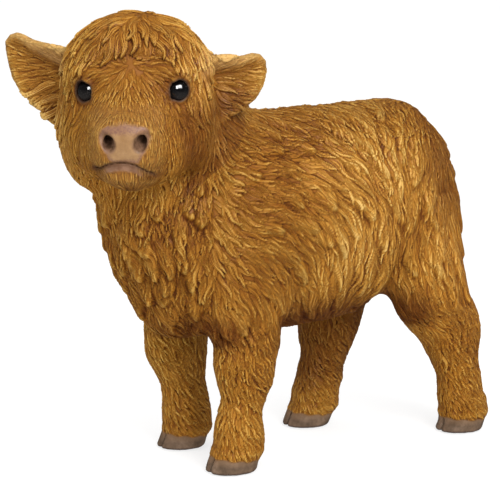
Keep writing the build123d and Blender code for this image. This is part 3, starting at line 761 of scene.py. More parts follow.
def lay_locks(V, N, A, St, keep, seed, cover, steps, size=1.0, macro=False, fore=False):
    """Roots spread evenly by area; each lock is traced along the coat over the surface."""
    rng = np.random.default_rng(seed)
    W, L = St[:, 0] * size, St[:, 1] * size
    dens = A * keep * cover / (0.72 * W * L)
    q = np.floor((V - V.min(0)) / 3.0).astype(np.int64)
    code = np.zeros(len(V), np.int64)
    for b in range(8):
        for ax in range(3):
            code |= ((q[:, ax] >> b) & 1) << (3 * b + ax)
    order = np.argsort(code, kind='stable')
    cum = np.cumsum(dens[order])
    n = int(cum[-1])
    at = (np.arange(n) + rng.uniform(0.05, 0.95, n)) * cum[-1] / n
    idx = order[np.clip(np.searchsorted(cum, at), 0, len(order) - 1)]
    P = V[idx] + rng.normal(0, 0.3, (n, 3))
    S = St[idx].copy()
    W = S[:, 0] * size * rng.uniform(0.75, 1.25, n)
    L = S[:, 1] * size * rng.uniform(0.72, 1.28, n)
    Hh = S[:, 2] * rng.uniform(0.70, 1.25, n)
    ns = np.maximum(1, np.round(S[:, 3] * W / (S[:, 0] * size)))
    curl = S[:, 4] * rng.uniform(0.5, 1.3, n); wild = S[:, 5]
    phase = vnoise(P, 16.0, seed + 5) * 1.1 + rng.uniform(-.22, .22, n)
    turn0 = wild * (1.1 * vnoise(P, 22.0, seed + 7) + 0.7 * vnoise(P, 9.0, seed + 8) + rng.normal(0, .28, n))
    cyc = rng.uniform(0.85, 1.25, n)
    G, lo, h = FUR['grid']
    pts, tan, nor = [], [], []
    ds = L / steps
    for k in range(steps):
        g = np.stack([trilinear(G, lo, h, P + e * 1.2) - trilinear(G, lo, h, P - e * 1.2) for e in np.eye(3)], 1)
        g = unit_rows(g)
        P = P - g * np.clip(trilinear(G, lo, h, P), -3, 3)[:, None]
        D = flow(P, fore)
        s = (k + .5) / steps
        ang = turn0 + curl * np.sin(2 * np.pi * (cyc * s + phase))
        D = D - (D * g).sum(1, keepdims=True) * g
        D = unit_rows(D)
        B = np.cross(g, D)
        D = D * np.cos(ang)[:, None] + B * np.sin(ang)[:, None]
        pts.append(P.copy()); tan.append(D); nor.append(g)
        P = P + D * ds[:, None]
    return dict(P=np.stack(pts, 1), T=np.stack(tan, 1), N=np.stack(nor, 1), W=W, L=L, H=Hh, ns=ns, steps=steps,
                id=rng.uniform(0, 1, n), ph=rng.uniform(0, 1, n), macro=macro)


def carve(V, N, K, out):
    """Raises each point of the surface to the highest lock over it. out: height, s, t, id."""
    n, st = K['P'].shape[:2]
    ds = K['L'] / st
    reach = np.maximum(K['W'] / 2, ds / 2 + 0.3)
    edges = [0, 1.6, 3.2, 6.0, 40]
    for g0, g1 in zip(edges[:-1], edges[1:]):
        sel = np.where((reach > g0) & (reach <= g1))[0]
        if not len(sel):
            continue
        c = float(reach[sel].max()) * 1.02 + 0.4
        SP = K['P'][sel].reshape(-1, 3); ST = K['T'][sel].reshape(-1, 3); SN = K['N'][sel].reshape(-1, 3)
        lock = np.repeat(sel, st); step = np.tile(np.arange(st), len(sel))
        lo = np.minimum(SP.min(0), V.min(0)) - 2 * c
        dims = np.ceil((np.maximum(SP.max(0), V.max(0)) - lo) / c).astype(np.int64) + 3
        ks = np.floor((SP - lo) / c).astype(np.int64)
        key = (ks[:, 0] * dims[1] + ks[:, 1]) * dims[2] + ks[:, 2]
        o = np.argsort(key, kind='stable')
        key = key[o]; SP = SP[o].astype(np.float32); ST = ST[o].astype(np.float32); SN = SN[o].astype(np.float32); lock = lock[o]; step = step[o]
        SB = np.cross(SN, ST)
        ch = 30000
        for st0 in range(0, len(V), ch):
            v = V[st0:st0+ch]
            kv = np.floor((v - lo) / c).astype(np.int64)
            ii, jj = [], []
            for a in (-1, 0, 1):
                for b in (-1, 0, 1):
                    kk = ((kv[:, 0] + a) * dims[1] + kv[:, 1] + b) * dims[2] + kv[:, 2]
                    s0 = np.searchsorted(key, kk - 1, 'left'); s1 = np.searchsorted(key, kk + 1, 'right')
                    cnt = s1 - s0
                    tot = int(cnt.sum())
                    if not tot:
                        continue
                    vi = np.repeat(np.arange(len(v)), cnt)
                    off = np.repeat(s0 - (np.cumsum(cnt) - cnt), cnt) + np.arange(tot)
                    d = v[vi].astype(np.float32) - SP[off]
                    ok = np.abs((d * ST[off]).sum(1)) < (ds[lock[off]] * 0.55 + 0.2)
                    ii.append(vi[ok]); jj.append(off[ok])
            if not ii:
                continue
            vi = np.concatenate(ii); sj = np.concatenate(jj)
            if not len(vi):
                continue
            d = v[vi].astype(np.float32) - SP[sj]
            nn = (d * SN[sj]).sum(1)
            facing = (N[st0:st0+ch][vi] * SN[sj]).sum(1)
            t = (d * SB[sj]).sum(1); a = (d * ST[sj]).sum(1)
            lk = lock[sj]
            s = np.clip((step[sj] + 0.5 + a / ds[lk]) / st, 0, 1)
            w = K['W'][lk] / 2 * np.minimum(1.0, 1.28 * (1 - s) ** (0.40 if K['macro'] else 0.56)) * np.minimum(1, 0.55 + 3 * s)
            uu = t / np.maximum(w, 0.05)
            ok = (np.abs(uu) < 1) & (np.abs(nn) < 3.5) & (facing > 0.1)
            vi, lk, s, uu, t = vi[ok], lk[ok], s[ok], uu[ok], t[ok]
            if not len(vi):
                continue
            Hs = K['H'][lk]
            if K['macro']:
                hh = Hs * (0.10 + 0.90 * np.minimum(1, s * 1.2) ** 1.1) * (1 - uu * uu) ** 0.8
            else:
                ns = K['ns'][lk]
                xx = ns * (uu + 1) / 2
                kx = np.floor(xx); fx = 2 * (xx - kx) - 1
                r = np.sqrt(np.maximum(0, 1 - 0.94 * fx * fx))
                ro = hash01((lk * 7 + kx).astype(np.int64), lk.astype(np.int64), kx.astype(np.int64), 3)
                dome = (1 - uu * uu) ** 0.5
                hh = Hs * (0.22 + 0.78 * np.minimum(1, s * 1.15) ** 0.75) * (0.44 * dome + 0.56 * r * dome ** 0.3 * (0.62 + 0.55 * ro))
            oo = np.argsort(hh, kind='stable')
            vi, lk, s, t, hh, uu = vi[oo], lk[oo], s[oo], t[oo], hh[oo], uu[oo]
            g = vi + st0
            best = np.zeros(len(v)); best[vi] = hh
            src = -np.ones(len(v), np.int64); src[vi] = np.arange(len(vi))
            up = np.where((src >= 0) & (best > out['h'][st0:st0+ch]))[0]
            gi = up + st0; sr = src[up]
            out['h'][gi] = hh[sr]; out['s'][gi] = s[sr]; out['t'][gi] = t[sr]; out['id'][gi] = K['id'][lk[sr]]
    return out


def fresh(n):
    return dict(h=np.zeros(n), s=np.zeros(n), t=np.zeros(n), id=np.zeros(n))


# ---------- build the two skins: the body, and the head on a finer mesh ----------
OVER = 0.6
PLUG_Y, PLUG_R = 34.0, 16.2


def field_body(P):
    d = sdf(P)
    d = np.maximum(d, (P - NECK_P) @ NECK_N - OVER)
    # pouring hole: the plug's face shows here
    hole = np.maximum(np.hypot(P[:, 0], P[:, 1] - PLUG_Y) - PLUG_R, P[:, 2] - 89.5)
    return np.maximum(d, -hole)


def field_head(P):
    return np.maximum(sdf(P), -((P - NECK_P) @ NECK_N) - OVER)


H_BODY, H_HEAD = 1.46, 1.0

say('field')
TG = sparse_grid(sdf, (-75, -175, -4), (85, 185, 325), 2.4, coarse=4)
FUR['grid'] = TG
say('trace grid')
Fb = sparse_grid(field_body, (-72, -125, -3), (72, 172, 246), H_BODY, coarse=4)
Vb, Qb = surface_nets(*Fb)
say('body net', len(Vb), len(Qb))
Fh = sparse_grid(field_head, (-82, -172, 154), (94, -14, 300), H_HEAD, coarse=5)
Vh, Qh = surface_nets(*Fh)
say('head net', len(Vh), len(Qh))
del Fb, Fh


def grown(V, Q, field, steps, sign):
    V, Q = subdivided(V, Q)
    say('  subsurf')
    # the face hidden in the neck joint is left open here and closed on the finished piece
    c = V[Q].mean(1)
    g = sign * ((c - NECK_P) @ NECK_N) - OVER
    hid = np.abs(g) < 0.6
    hid[hid] = sdf(c[hid]) < -0.35
    Q = Q[~hid]
    used = np.unique(Q); mp = -np.ones(len(V), np.int64); mp[used] = np.arange(len(used))
    V, Q = V[used], mp[Q]
    # back onto the true surface, which subdivision rounds off
    net = Net(V, Q)
    say('  net')
    for _ in range(steps):
        V = V - np.clip(field(V), -.5, .5)[:, None] * net.normals(V)
    return V, Q, net


Vb, Qb, NB = grown(Vb, Qb, field_body, 0, 1)
Vh, Qh, NH = grown(Vh, Qh, field_head, 1, -1)
Vh = NH.blur(Vh, 1, 0.35)
say('subdivided', len(Vb), len(Vh))

nb = len(Vb)
V = np.concatenate([Vb, Vh])
N = np.concatenate([unit_rows(NB.blur(NB.normals(Vb), 3)), unit_rows(NH.blur(NH.normals(Vh), 3))])
A = np.concatenate([NB.areas(Vb), NH.areas(Vh)])
# along the open rim of the joint the normals come from the field, so that both halves agree
rim = sstep(1.7, 0.75, np.abs((V - NECK_P) @ NECK_N))
_m = rim > 0
RIM_N = np.zeros_like(V)
RIM_N[_m] = unit_rows(np.stack([trilinear(*TG, V[_m] + e * 1.5) - trilinear(*TG, V[_m] - e * 1.5) for e in np.eye(3)], 1))
N = unit_rows(N * (1 - rim[:, None]) + RIM_N * rim[:, None])
open_skin = np.ones(len(V))                      # 0 on the wall of the pouring hole
_m = (np.hypot(V[:, 0], V[:, 1] - PLUG_Y) < PLUG_R + 2.5) & (V[:, 2] < 93)
open_skin[_m] = sstep(-1.6, -0.4, sdf(V[_m])) * sstep(PLUG_R - 0.2, PLUG_R + 2.0, np.hypot(V[_m, 0], V[_m, 1] - PLUG_Y))
inside_head = (V - NECK_P) @ NECK_N > 0
nose, lid, lip, mline, hoof = bare_mask(V)
St = style(V, N)
say('style')
bare = np.clip(nose + lid + lip + hoof, 0, 1)
grow = (1 - bare) * open_skin * (V[:, 2] > 2)
own = np.concatenate([~inside_head[:nb], inside_head[nb:]])   # each half seeds its own side

# broad clumps under the coat
body_w = np.where((V[:, 2] > 84) & (V[:, 2] < 235), 1.0, 0.0) * sstep(9, -9, (V - NECK_P) @ NECK_N)
chest_w = np.maximum(sstep(-56, -72, V[:, 1]) * sstep(216, 196, V[:, 2]), .8 * sstep(-26, -42, V[:, 1]) * sstep(124, 106, V[:, 2]))
Sm = St.copy(); Sm[:, 0] = 15.0 - 1.0 * chest_w; Sm[:, 1] = 40.0 - 14.0 * chest_w
Sm[:, 2] = 2.9 + 0.9 * chest_w; Sm[:, 4] *= 0.6
seed_w = np.where((V[:, 2] > 84) & (V[:, 2] < 235), 1.0, 0.0) * sstep(20, 12, (V - NECK_P) @ NECK_N)
KM = lay_locks(V, N, A, Sm, grow * own * seed_w, 11, 1.35, 12, macro=True)
poll = forelock(V) * inside_head
K1 = lay_locks(V, N, A, St, grow * own, 23, 3.0, 14)
Sf = St.copy(); Sf[:] = (5.6, 22.0, 2.9, 4.0, .38, .28)
K2 = lay_locks(V, N, A, Sf, grow * own * poll, 41, 2.5, 16, fore=True)
Se = St.copy(); Se[:] = (4.6, 22.0, 2.7, 4.0, .34, .30)
tuft = ear_tufts(V) * inside_head * (N @ HF > 0.15)
K3 = lay_locks(V, N, A, Se, grow * own * tuft, 57, 1.5, 14)
say('locks', len(KM['W']), len(K1['W']))
big = carve(V, N, KM, fresh(len(V)))
soft = np.concatenate([NB.blur(big['h'][:nb], 10, .6), NH.blur(big['h'][nb:], 14, .6)])
firm = np.concatenate([NB.blur(big['h'][:nb], 5, .6), NH.blur(big['h'][nb:], 8, .6)])
big['h'] = soft * (1 - chest_w) + firm * chest_w
say('clumps carved')
fur = carve(V, N, K1, fresh(len(V)))
fur = carve(V, N, K2, fur)
fur = carve(V, N, K3, fur)
say('locks carved')

soft_edge = np.clip(1 - bare, 0, 1)
lift = (fur['h'] - 0.50 * (St[:, 2] * (1 - poll) + 2.6 * poll)) * grow
band = ear_band(*head_co(V).T[[1, 2, 0]]) * inside_head * (head_co(V)[:, 0] < 16)
lift += 0.6 * band
lift += (big['h'] - 0.45 * Sm[:, 2]) * body_w * open_skin * sstep(84, 92, V[:, 2])
lift[V[:, 2] < 1.0] = 0
D = V + N * lift[:, None]
D[:, 2] = np.maximum(D[:, 2], 0.0)
Db, Dh = D[:nb], D[nb:]
say('displaced', float(lift.min()), float(lift.max()))


# ---------- what the paint needs to know ----------
def grooves(net, X, few, many):
    n = net.normals(X)
    s1 = net.blur(X, few); s2 = net.blur(s1, many)
    return ((s1 - X) * n).sum(1), ((s2 - X) * n).sum(1), n


cb1, cb2, nB = grooves(NB, Db, 3, 16)
ch1, ch2, nH = grooves(NH, Dh, 4, 24)
c1 = np.concatenate([cb1, ch1]); c2 = np.concatenate([cb2, ch2]); nD = np.concatenate([nB, nH])
def soft_lift(a, b):
    return np.concatenate([NB.blur(lift[:nb], a), NH.blur(lift[nb:], b)]) - lift


c1 = c1 * (1 - rim) + rim * soft_lift(3, 4); c2 = c2 * (1 - rim) + rim * soft_lift(16, 24)
# slope of the coat's relief along the joint, fitted to the points of both halves
near = np.where(np.abs((V - NECK_P) @ NECK_N) < 3.5)[0]
near = near[np.abs(trilinear(*TG, V[near])) < 0.45]
kd = KDTree(len(near))
for i, p in enumerate(V[near]):
    kd.insert(p, i)
kd.balance()
RIM_D = RIM_N.copy()
for i in np.where(rim > 0)[0]:
    js = near[[q[1] for q in kd.find_range(V[i], 1.1)]]
    if len(js) < 5:
        continue
    dp = V[js] - V[js].mean(0); dp = dp - np.outer(dp @ RIM_N[i], RIM_N[i])
    gr = np.linalg.solve(dp.T @ dp + 0.02 * len(js) * np.eye(3), dp.T @ (lift[js] - lift[js].mean()))
    RIM_D[i] = RIM_N[i] - gr
RIM_D = unit_rows(RIM_D)
nD = unit_rows(nD * (1 - rim[:, None]) + RIM_D * rim[:, None]); nB, nH = nD[:nb], nD[nb:]
say('grooves', np.percentile(c1, [5, 50, 95]), np.percentile(c2, [5, 50, 95]))
H_ = head_co(V)
ATT = dict(cav=c1 * (1 + 1.6 * sstep(38, 48, head_co(V)[:, 0]) * inside_head), cav2=c2, s=fur['s'], t=fur['t'], rid=fur['id'], nose=nose, lid=lid, lip=lip, mline=mline, hoof=hoof)
x, y, z = V.T
f_, l_, u_ = H_.T
in_h = inside_head.astype(float)
dark = 0.30 * sstep(196, 219, z) * sstep(-62, -30, y) * (1 - in_h)                # along the back
dark = np.maximum(dark, 1.05 * np.maximum(sstep(.15, -.30, N[:, 2]), sstep(34, 26, np.abs(x))) * sstep(114, 90, z) * sstep(74, 82, z) * sstep(-95, -60, y) * sstep(62, 46, np.abs(x)) * sstep(112, 96, y))   # painted shade under the belly and brisket, strongest on faces turned down, over paint that is darker there too
dark = np.maximum(dark, 0.26 * sstep(20, -5, y) * sstep(78, 90, z) * (1 - in_h))   # shoulder and chest
dark = np.maximum(dark, 0.60 * sstep(98, 120, y) * sstep(135, 165, z) * (1 - in_h))   # rump
dark = np.maximum(dark, 0.75 * sstep(-8, -16, x) * sstep(40, 55, y) * sstep(118, 104, y) * sstep(112, 96, z) * sstep(18, 40, z))   # painted shade on the far hind leg
Sx, Sy, Sz = eye_local(np.stack([f_, np.abs(l_ - EYE_MID), u_], 1))
eo = eye_opening(Sx, Sy)
ring = sstep(7.5, 0.5, eo) * sstep(-6, 0, Sz) * in_h
dark = np.maximum(dark, 0.75 * ring)
# painted shade under the chin and jaw
dark = np.maximum(dark, 0.60 * sstep(-38, -47, u_) * sstep(16, 34, f_) * sstep(62, 50, f_) * in_h)
# painted shade, over a darker wash, on the calf's left cheek between ear and neck; the right cheek gets almost none
dark = np.maximum(dark, np.where(l_ < 0, 0.05, 0.80) * sstep(20, 33, np.abs(l_)) * sstep(8, -8, u_) * sstep(46, 34, f_) * in_h)
dark = np.maximum(dark, 0.34 * sstep(34, 20, np.abs(l_)) * sstep(4, 12, u_) * sstep(8, 16, f_) * in_h)
dark = np.maximum(dark, 0.25 * sstep(-8, -14, l_) * sstep(-4, 4, u_ + 3) * sstep(16, 8, u_) * in_h * sstep(10, 20, f_))
# painted shade in both corners of the mouth
dark = np.maximum(dark, 0.8 * np.exp(-((l_ + 20) / 4.5) ** 2 - ((u_ + 34) / 3.0) ** 2) * sstep(30, 40, f_) * in_h)
dark = np.maximum(dark, 0.9 * np.exp(-((l_ - 14.5) / 6) ** 2 - ((u_ + 37.5) / 3.2) ** 2) * sstep(30, 40, f_) * in_h)
# painted shade along the bottom edge of the chin
dark = np.maximum(dark, 0.8 * np.exp(-((l_ + 3) / 15) ** 2 - ((u_ + 46.0) / 2.6) ** 2) * sstep(30, 36, f_) * in_h)
dark = np.maximum(dark, 0.35 * sstep(1.0, 0.2, np.abs(l_ - 5) / 9) * sstep(34, 42, u_) * in_h)
pale = np.exp(-((y - 48) / 30) ** 2 - ((z - 146) / 40) ** 2) + 0.6 * np.exp(-((y - 106) / 22) ** 2 - ((z - 130) / 34) ** 2)
pale = pale + 0.5 * np.exp(-((y - 44) / 50) ** 2 - ((z - 188) / 14) ** 2)
pale = np.clip(pale, 0, 1) * (1 - in_h) * sstep(8, 26, np.abs(x))
pale = np.maximum(pale, 0.52 * sstep(40, 48, np.abs(l_)) * in_h * (f_ < 14))
pale = np.maximum(pale, 0.45 * sstep(27, 33, l_) * sstep(46, 40, l_) * sstep(-4, 6, u_) * sstep(40, 28, u_) * in_h)
ATT['band'] = band
ATT['pale'] = pale
_top = np.where(l_ < 0, np.interp(-l_, [40, 50, 70, 81, 86, 90], [16, 18.6, 27, 34.5, 34.5, 28]), np.interp(l_, [32, 49, 60, 72, 76], [12, 16.2, 17.6, 21.8, 17]))
# painted shadow under the fold along the ears' upper edge
dark = np.maximum(dark, 0.40 * np.exp(-((u_ - _top + 2.5) / 3.2) ** 2) * sstep(38, 44, np.abs(l_)) * (f_ < 14) * in_h)
ATT['dark'] = dark
ATT['lidline'] = sstep(2.0, 0.2, eo) * sstep(-1, 1, Sz) * in_h
nz = nostrils(np.stack([f_, np.abs(l_), u_], 1))
wing = rcone(np.stack([f_, np.abs(l_), u_], 1), (65.0, 10.4, -14.4), (61.5, 13.4, -11.0), 2.7, 1.8)
ATT['nostril'] = np.maximum(sstep(1.5, -0.4, nz), 0.60 * sstep(2.0, -1.6, wing)) * in_h
_pd = nose_pad(H_)
# purple-brown pigment along the pad's top band and edge, and painted shade in a ring round the nostrils
ATT['padtop'] = np.maximum(sstep(-12.0, -8.0, u_ + 0.8 * vnoise(V, 3.0, 33)), sstep(-3.6, -0.6, _pd + 0.8 * vnoise(V, 2.5, 34)), 0.85 * sstep(3.4, 0.6, nz) * sstep(-21, -17, u_ + 0.35 * np.abs(l_) - 3.5)) * nose
ear_in = np.zeros(len(V))
for e in EARS:
    m = (np.sign(EARS[e]['tip'][0]) * l_ > 36) & (f_ < 16) & (in_h > 0)
    if m.any():
        dp, zc, al_ = ear_fields(H_[m], e)
        ear_in[m] = np.maximum(ear_in[m], sstep(-0.5, 1.5, zc) * sstep(-3.0, -8.0, dp) * sstep(.95, .55, al_))
ATT['earin'] = ear_in
muz = sstep(40, 47, f_) * sstep(8, 0, u_) * sstep(26, 18, np.abs(l_ + 1)) * in_h
ATT['muz'] = muz


# ---------- pieces ----------
def boundary_loops(Q):
    e = np.concatenate([Q[:, [0, 1]], Q[:, [1, 2]], Q[:, [2, 3]], Q[:, [3, 0]]])
    n = int(Q.max()) + 1
    k = e[:, 0].astype(np.int64) * n + e[:, 1]; kr = e[:, 1].astype(np.int64) * n + e[:, 0]
    open_e = e[~np.isin(k, kr)]
    nxt = {}
    for a, b in open_e:
        nxt.setdefault(int(a), []).append(int(b))
    loops = []
    while nxt:
        a = next(iter(nxt)); loop = [a]; cur = a
        while True:
            bs = nxt.get(cur)
            if not bs:
                break
            b = bs.pop()
            if not bs:
                del nxt[cur]
            if b == a:
                break
            loop.append(b); cur = b
        if len(loop) > 2:
            loops.append(loop)
    return loops


def make_piece(name, Vp, Np, Q, att, node, drop):
    used = np.unique(Q)
    mp = -np.ones(len(Vp), np.int64); mp[used] = np.arange(len(used))
    q = mp[Q]; v = Vp[used]; nn = Np[used]
    tris = []
    for loop in boundary_loops(q):
        tt = tessellate_polygon([[Vector(c) for c in v[loop]]])
        fwd = sum(1 for a, b, c in tt for i, j in ((a, b), (b, c), (c, a)) if (j - i) % len(loop) == 1)
        bwd = sum(1 for a, b, c in tt for i, j in ((a, b), (b, c), (c, a)) if (i - j) % len(loop) == 1)
        for a, b, c in tt:
            a, b, c = (a, b, c) if bwd > fwd else (a, c, b)
            tris.append((loop[a], loop[b], loop[c]))
    src = used
    me = bpy.data.meshes.new(name)
    co = ((v + SHIFT) / 1000.0).astype(np.float32)
    me.vertices.add(len(co)); me.vertices.foreach_set('co', co.ravel())
    li = q.ravel(); t = np.array(tris, np.int64).reshape(-1, 3)
    me.loops.add(len(li) + t.size)
    me.loops.foreach_set('vertex_index', np.concatenate([li, t.ravel()]).astype(np.int32))
    me.polygons.add(len(q) + len(t))
    me.polygons.foreach_set('loop_start', np.concatenate([np.arange(len(q)) * 4, len(li) + np.arange(len(t)) * 3]).astype(np.int32))
    me.polygons.foreach_set('use_smooth', np.ones(len(q) + len(t), bool))
    me.update(calc_edges=True)
    for k, a in att.items():
        at = me.attributes.new(k, 'FLOAT', 'POINT')
        at.data.foreach_set('value', a[src].astype(np.float32))
    me.normals_split_custom_set_from_vertices(nn.astype(np.float32))
    ob = bpy.data.objects.new(name, me); bpy.context.scene.collection.objects.link(ob)
    me.materials.append(MAT['coat'])
    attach(ob, 'root'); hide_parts(node)
    return ob


# ---------- materials ----------
MAT = {}


def nodes_of(name):
    m = bpy.data.materials.new(name); m.use_nodes = True
    t = m.node_tree
    for n in list(t.nodes):
        t.nodes.remove(n)
    out = t.nodes.new('ShaderNodeOutputMaterial')
    b = t.nodes.new('ShaderNodeBsdfPrincipled')
    t.links.new(b.outputs[0], out.inputs[0])
    return m, t, b


class G:
    def __init__(self, t):
        self.t = t

    def n(self, kind, **kw):
        nd = self.t.nodes.new(kind)
        for k, v in kw.items():
            setattr(nd, k, v)
        return nd

    def put(self, sock, v):
        if hasattr(v, 'is_output') or isinstance(v, bpy.types.NodeSocket):
            self.t.links.new(v, sock)
        else:
            sock.default_value = v

    def att(self, name):
        return self.n('ShaderNodeAttribute', attribute_name=name).outputs['Fac']

    def math(self, op, a, b=0.0, c=0.0, clamp=False):
        nd = self.n('ShaderNodeMath', operation=op, use_clamp=clamp)
        self.put(nd.inputs[0], a); self.put(nd.inputs[1], b); self.put(nd.inputs[2], c)
        return nd.outputs[0]

    def mix(self, fac, a, b, mode='MIX'):
        nd = self.n('ShaderNodeMix', data_type='RGBA', blend_type=mode)
        self.put(nd.inputs['Factor'], fac)
        for s, v in ((nd.inputs[6], a), (nd.inputs[7], b)):
            if isinstance(v, (tuple, list)) and len(v) == 3:
                v = (*v, 1.0)
            self.put(s, v)
        return nd.outputs[2]

    def ramp(self, fac, stops):
        nd = self.n('ShaderNodeValToRGB')
        cr = nd.color_ramp
        while len(cr.elements) > 1:
            cr.elements.remove(cr.elements[-1])
        cr.elements[0].position = stops[0][0]; cr.elements[0].color = (*stops[0][1], 1)
        for p, c in stops[1:]:
            e = cr.elements.new(p); e.color = (*c, 1)
        self.put(nd.inputs[0], fac)
        return nd.outputs[0]

    def noise(self, vec, scale, detail=2.0, rough=.5):
        nd = self.n('ShaderNodeTexNoise')
        if vec is not None:
            self.put(nd.inputs['Vector'], vec)
        nd.inputs['Scale'].default_value = scale; nd.inputs['Detail'].default_value = detail; nd.inputs['Roughness'].default_value = rough
        return nd.outputs['Fac']

    def xyz(self, a, b, c):
        nd = self.n('ShaderNodeCombineXYZ')
        for s, v in zip(nd.inputs, (a, b, c)):
            self.put(s, v)
        return nd.outputs[0]

    def map(self, v, a0, a1, b0=0.0, b1=1.0):
        nd = self.n('ShaderNodeMapRange')
        self.put(nd.inputs['Value'], v)
        for k, q in (('From Min', a0), ('From Max', a1), ('To Min', b0), ('To Max', b1)):
            nd.inputs[k].default_value = q
        return nd.outputs[0]


def coat_material():
    m, t, b = nodes_of('painted_coat')
    g = G(t)
    pos = g.n('ShaderNodeTexCoord').outputs['Object']
    cav, cav2, s, tt, rid = [g.att(k) for k in ('cav', 'cav2', 's', 't', 'rid')]
    # fine strands inside each lock
    strand = g.noise(g.xyz(g.math('MULTIPLY', tt, 1.25), g.math('MULTIPLY', s, 1.5), g.math('MULTIPLY', rid, 83.0)), 1.0, 2.0, .55)
    # ridges are dry-brushed, grooves hold the wash
    level = g.math('ADD', g.math('MULTIPLY', cav, -1.6), g.math('MULTIPLY', cav2, -0.55))
    level = g.math('ADD', level, g.map(strand, .3, .7, -.32, .32))
    level = g.math('ADD', level, g.map(rid, 0, 1, -.07, .09))
    level = g.math('ADD', level, g.map(g.noise(pos, 22.0, 3.0), .35, .65, -.13, .13))
    level = g.math('ADD', level, 0.52, clamp=True)
    col = g.ramp(level, [(0.0, (.085, .022, .0015)), (.25, (.155, .050, .0035)), (.5, (.235, .092, .0070)), (.75, (.315, .142, .0150)), (1.0, (.43, .245, .048))])
    warm = g.map(g.noise(pos, 11.0, 2.0), .35, .65, 0, 1)
    col = g.mix(g.math('MULTIPLY', warm, .62), col, g.mix(1.0, col, (.95, .82, .62), 'MULTIPLY'))
    col = g.mix(g.att('pale'), col, g.mix(1.0, col, (1.30, 1.45, 2.2), 'MULTIPLY'))
    # inner ear
    col = g.mix(g.math('MULTIPLY', g.att('earin'), .45), col, g.mix(1.0, col, (.62, .48, .36), 'MULTIPLY'))
    # muzzle is paler and duller
    col = g.mix(g.math('MULTIPLY', g.att('muz'), .40), col, (.25, .115, .026))
    # the smooth fold along the top of the ears
    col = g.mix(g.math('MULTIPLY', g.att('band'), .42), col, g.ramp(g.noise(pos, 420.0, 3.0), [(.3, (.33, .175, .050)), (.7, (.52, .31, .120))]))
    # darker paint along the back, on the rump and round the eyes; painted shade under the belly and chin, at the mouth
    # corners, below the ear folds, on the calf's left cheek and on the far hind leg
    col = g.mix(g.att('dark'), col, g.mix(1.0, col, (.43, .31, .195), 'MULTIPLY'))
    # nose pad
    sp = g.noise(pos, 900.0, 3.0, .6)
    pad = g.ramp(g.noise(pos, 120.0, 3.0), [(.3, (.205, .106, .038)), (.7, (.30, .172, .072))])
    # freckles and purple-brown tint on the pad: pigment, with painted shade round the nostrils
    freck = g.math('MULTIPLY', g.map(sp, .46, .58), g.map(g.att('padtop'), 0, 1, .12, .8))
    pad = g.mix(freck, pad, (.115, .052, .038))
    pad = g.mix(g.math('MULTIPLY', g.att('padtop'), .6), pad, (.165, .078, .050))
    col = g.mix(g.att('nose'), col, pad)
    lipc = g.ramp(g.noise(pos, 260.0, 3.0), [(.3, (.145, .068, .033)), (.7, (.245, .132, .074))])
    col = g.mix(g.att('lip'), col, lipc)
    # mouth line: dark paint and painted shade of the lip's crease
    col = g.mix(g.math('MULTIPLY', g.att('mline'), .80), col, (.080, .034, .013))
    col = g.mix(g.math('MULTIPLY', g.att('nostril'), .9), col, g.mix(g.map(g.noise(pos, 300.0, 2.0), .4, .6), (.055, .026, .016), (.15, .080, .048)))
    col = g.mix(g.math('MULTIPLY', g.att('lidline'), .9), col, (.030, .015, .011))
    # hooves
    hoofn = g.noise(pos, 160.0, 4.0, .6)
    hf = g.ramp(hoofn, [(.3, (.065, .040, .022)), (.55, (.117, .073, .042)), (.75, (.183, .119, .072))])
    zz = g.n('ShaderNodeSeparateXYZ'); g.put(zz.inputs[0], pos)
    hf = g.mix(g.map(zz.outputs[2], .0022, .0004, 0, .75), hf, (.045, .030, .024))
    hf = g.mix(g.map(zz.outputs[2], .0050, .0115, 0, .75), hf, (.187, .103, .047))
    col = g.mix(g.att('hoof'), col, hf)
    col = g.mix(1.0, col, (1.165, 1.19, 1.31), 'MULTIPLY')
    t.links.new(col, b.inputs['Base Color'])
    rough = g.math('ADD', g.map(strand, .3, .7, .42, .54), g.math('MULTIPLY', g.att('nose'), -.06))
    t.links.new(rough, b.inputs['Roughness'])
    b.inputs['Specular IOR Level'].default_value = 0.11
    b.inputs['Coat Weight'].default_value = 0.0
    b.inputs['Coat Roughness'].default_value = 0.32
    # bump: strands on the coat, grain on the bare parts
    bareish = g.math('ADD', g.math('ADD', g.att('nose'), g.att('lip')), g.att('hoof'), clamp=True)
    fine = g.noise(g.xyz(g.math('MULTIPLY', tt, 2.1), g.math('MULTIPLY', s, 2.2), g.math('MULTIPLY', rid, 57.0)), 1.0, 1.0)
    hgt = g.math('ADD', g.math('MULTIPLY', strand, .7), g.math('MULTIPLY', fine, .3))
    grain = g.noise(pos, 1400.0, 2.0)
    n2 = g.n('ShaderNodeMix', data_type='FLOAT')
    g.put(n2.inputs[0], bareish); g.put(n2.inputs[2], hgt); g.put(n2.inputs[3], g.math('MULTIPLY', grain, .12))
    bp = g.n('ShaderNodeBump'); bp.inputs['Strength'].default_value = .85; bp.inputs['Distance'].default_value = .0012
    g.put(bp.inputs['Height'], n2.outputs[0])
    t.links.new(bp.outputs[0], b.inputs['Normal'])
    return m


MAT['coat'] = coat_material()


def eye_material():
    m, t, b = nodes_of('glass_eye')
    g = G(t)
    pos = g.n('ShaderNodeTexCoord').outputs['Object']
    zz = g.n('ShaderNodeSeparateXYZ'); g.put(zz.inputs[0], pos)
    # painted reflection: the lower part of each eye is a lighter grey, standing for the floor mirrored in it
    low = g.map(zz.outputs[2], .2490, .2445, 0, 1)
    nz_ = g.noise(pos, 900.0, 2.0)
    c = g.mix(g.math('MULTIPLY', low, g.map(nz_, .3, .7, .65, 1.0)), (.0020, .0018, .0020), (.020, .0175, .0165))
    t.links.new(c, b.inputs['Base Color'])
    b.inputs['Roughness'].default_value = .02
    b.inputs['Specular IOR Level'].default_value = .50
    return m


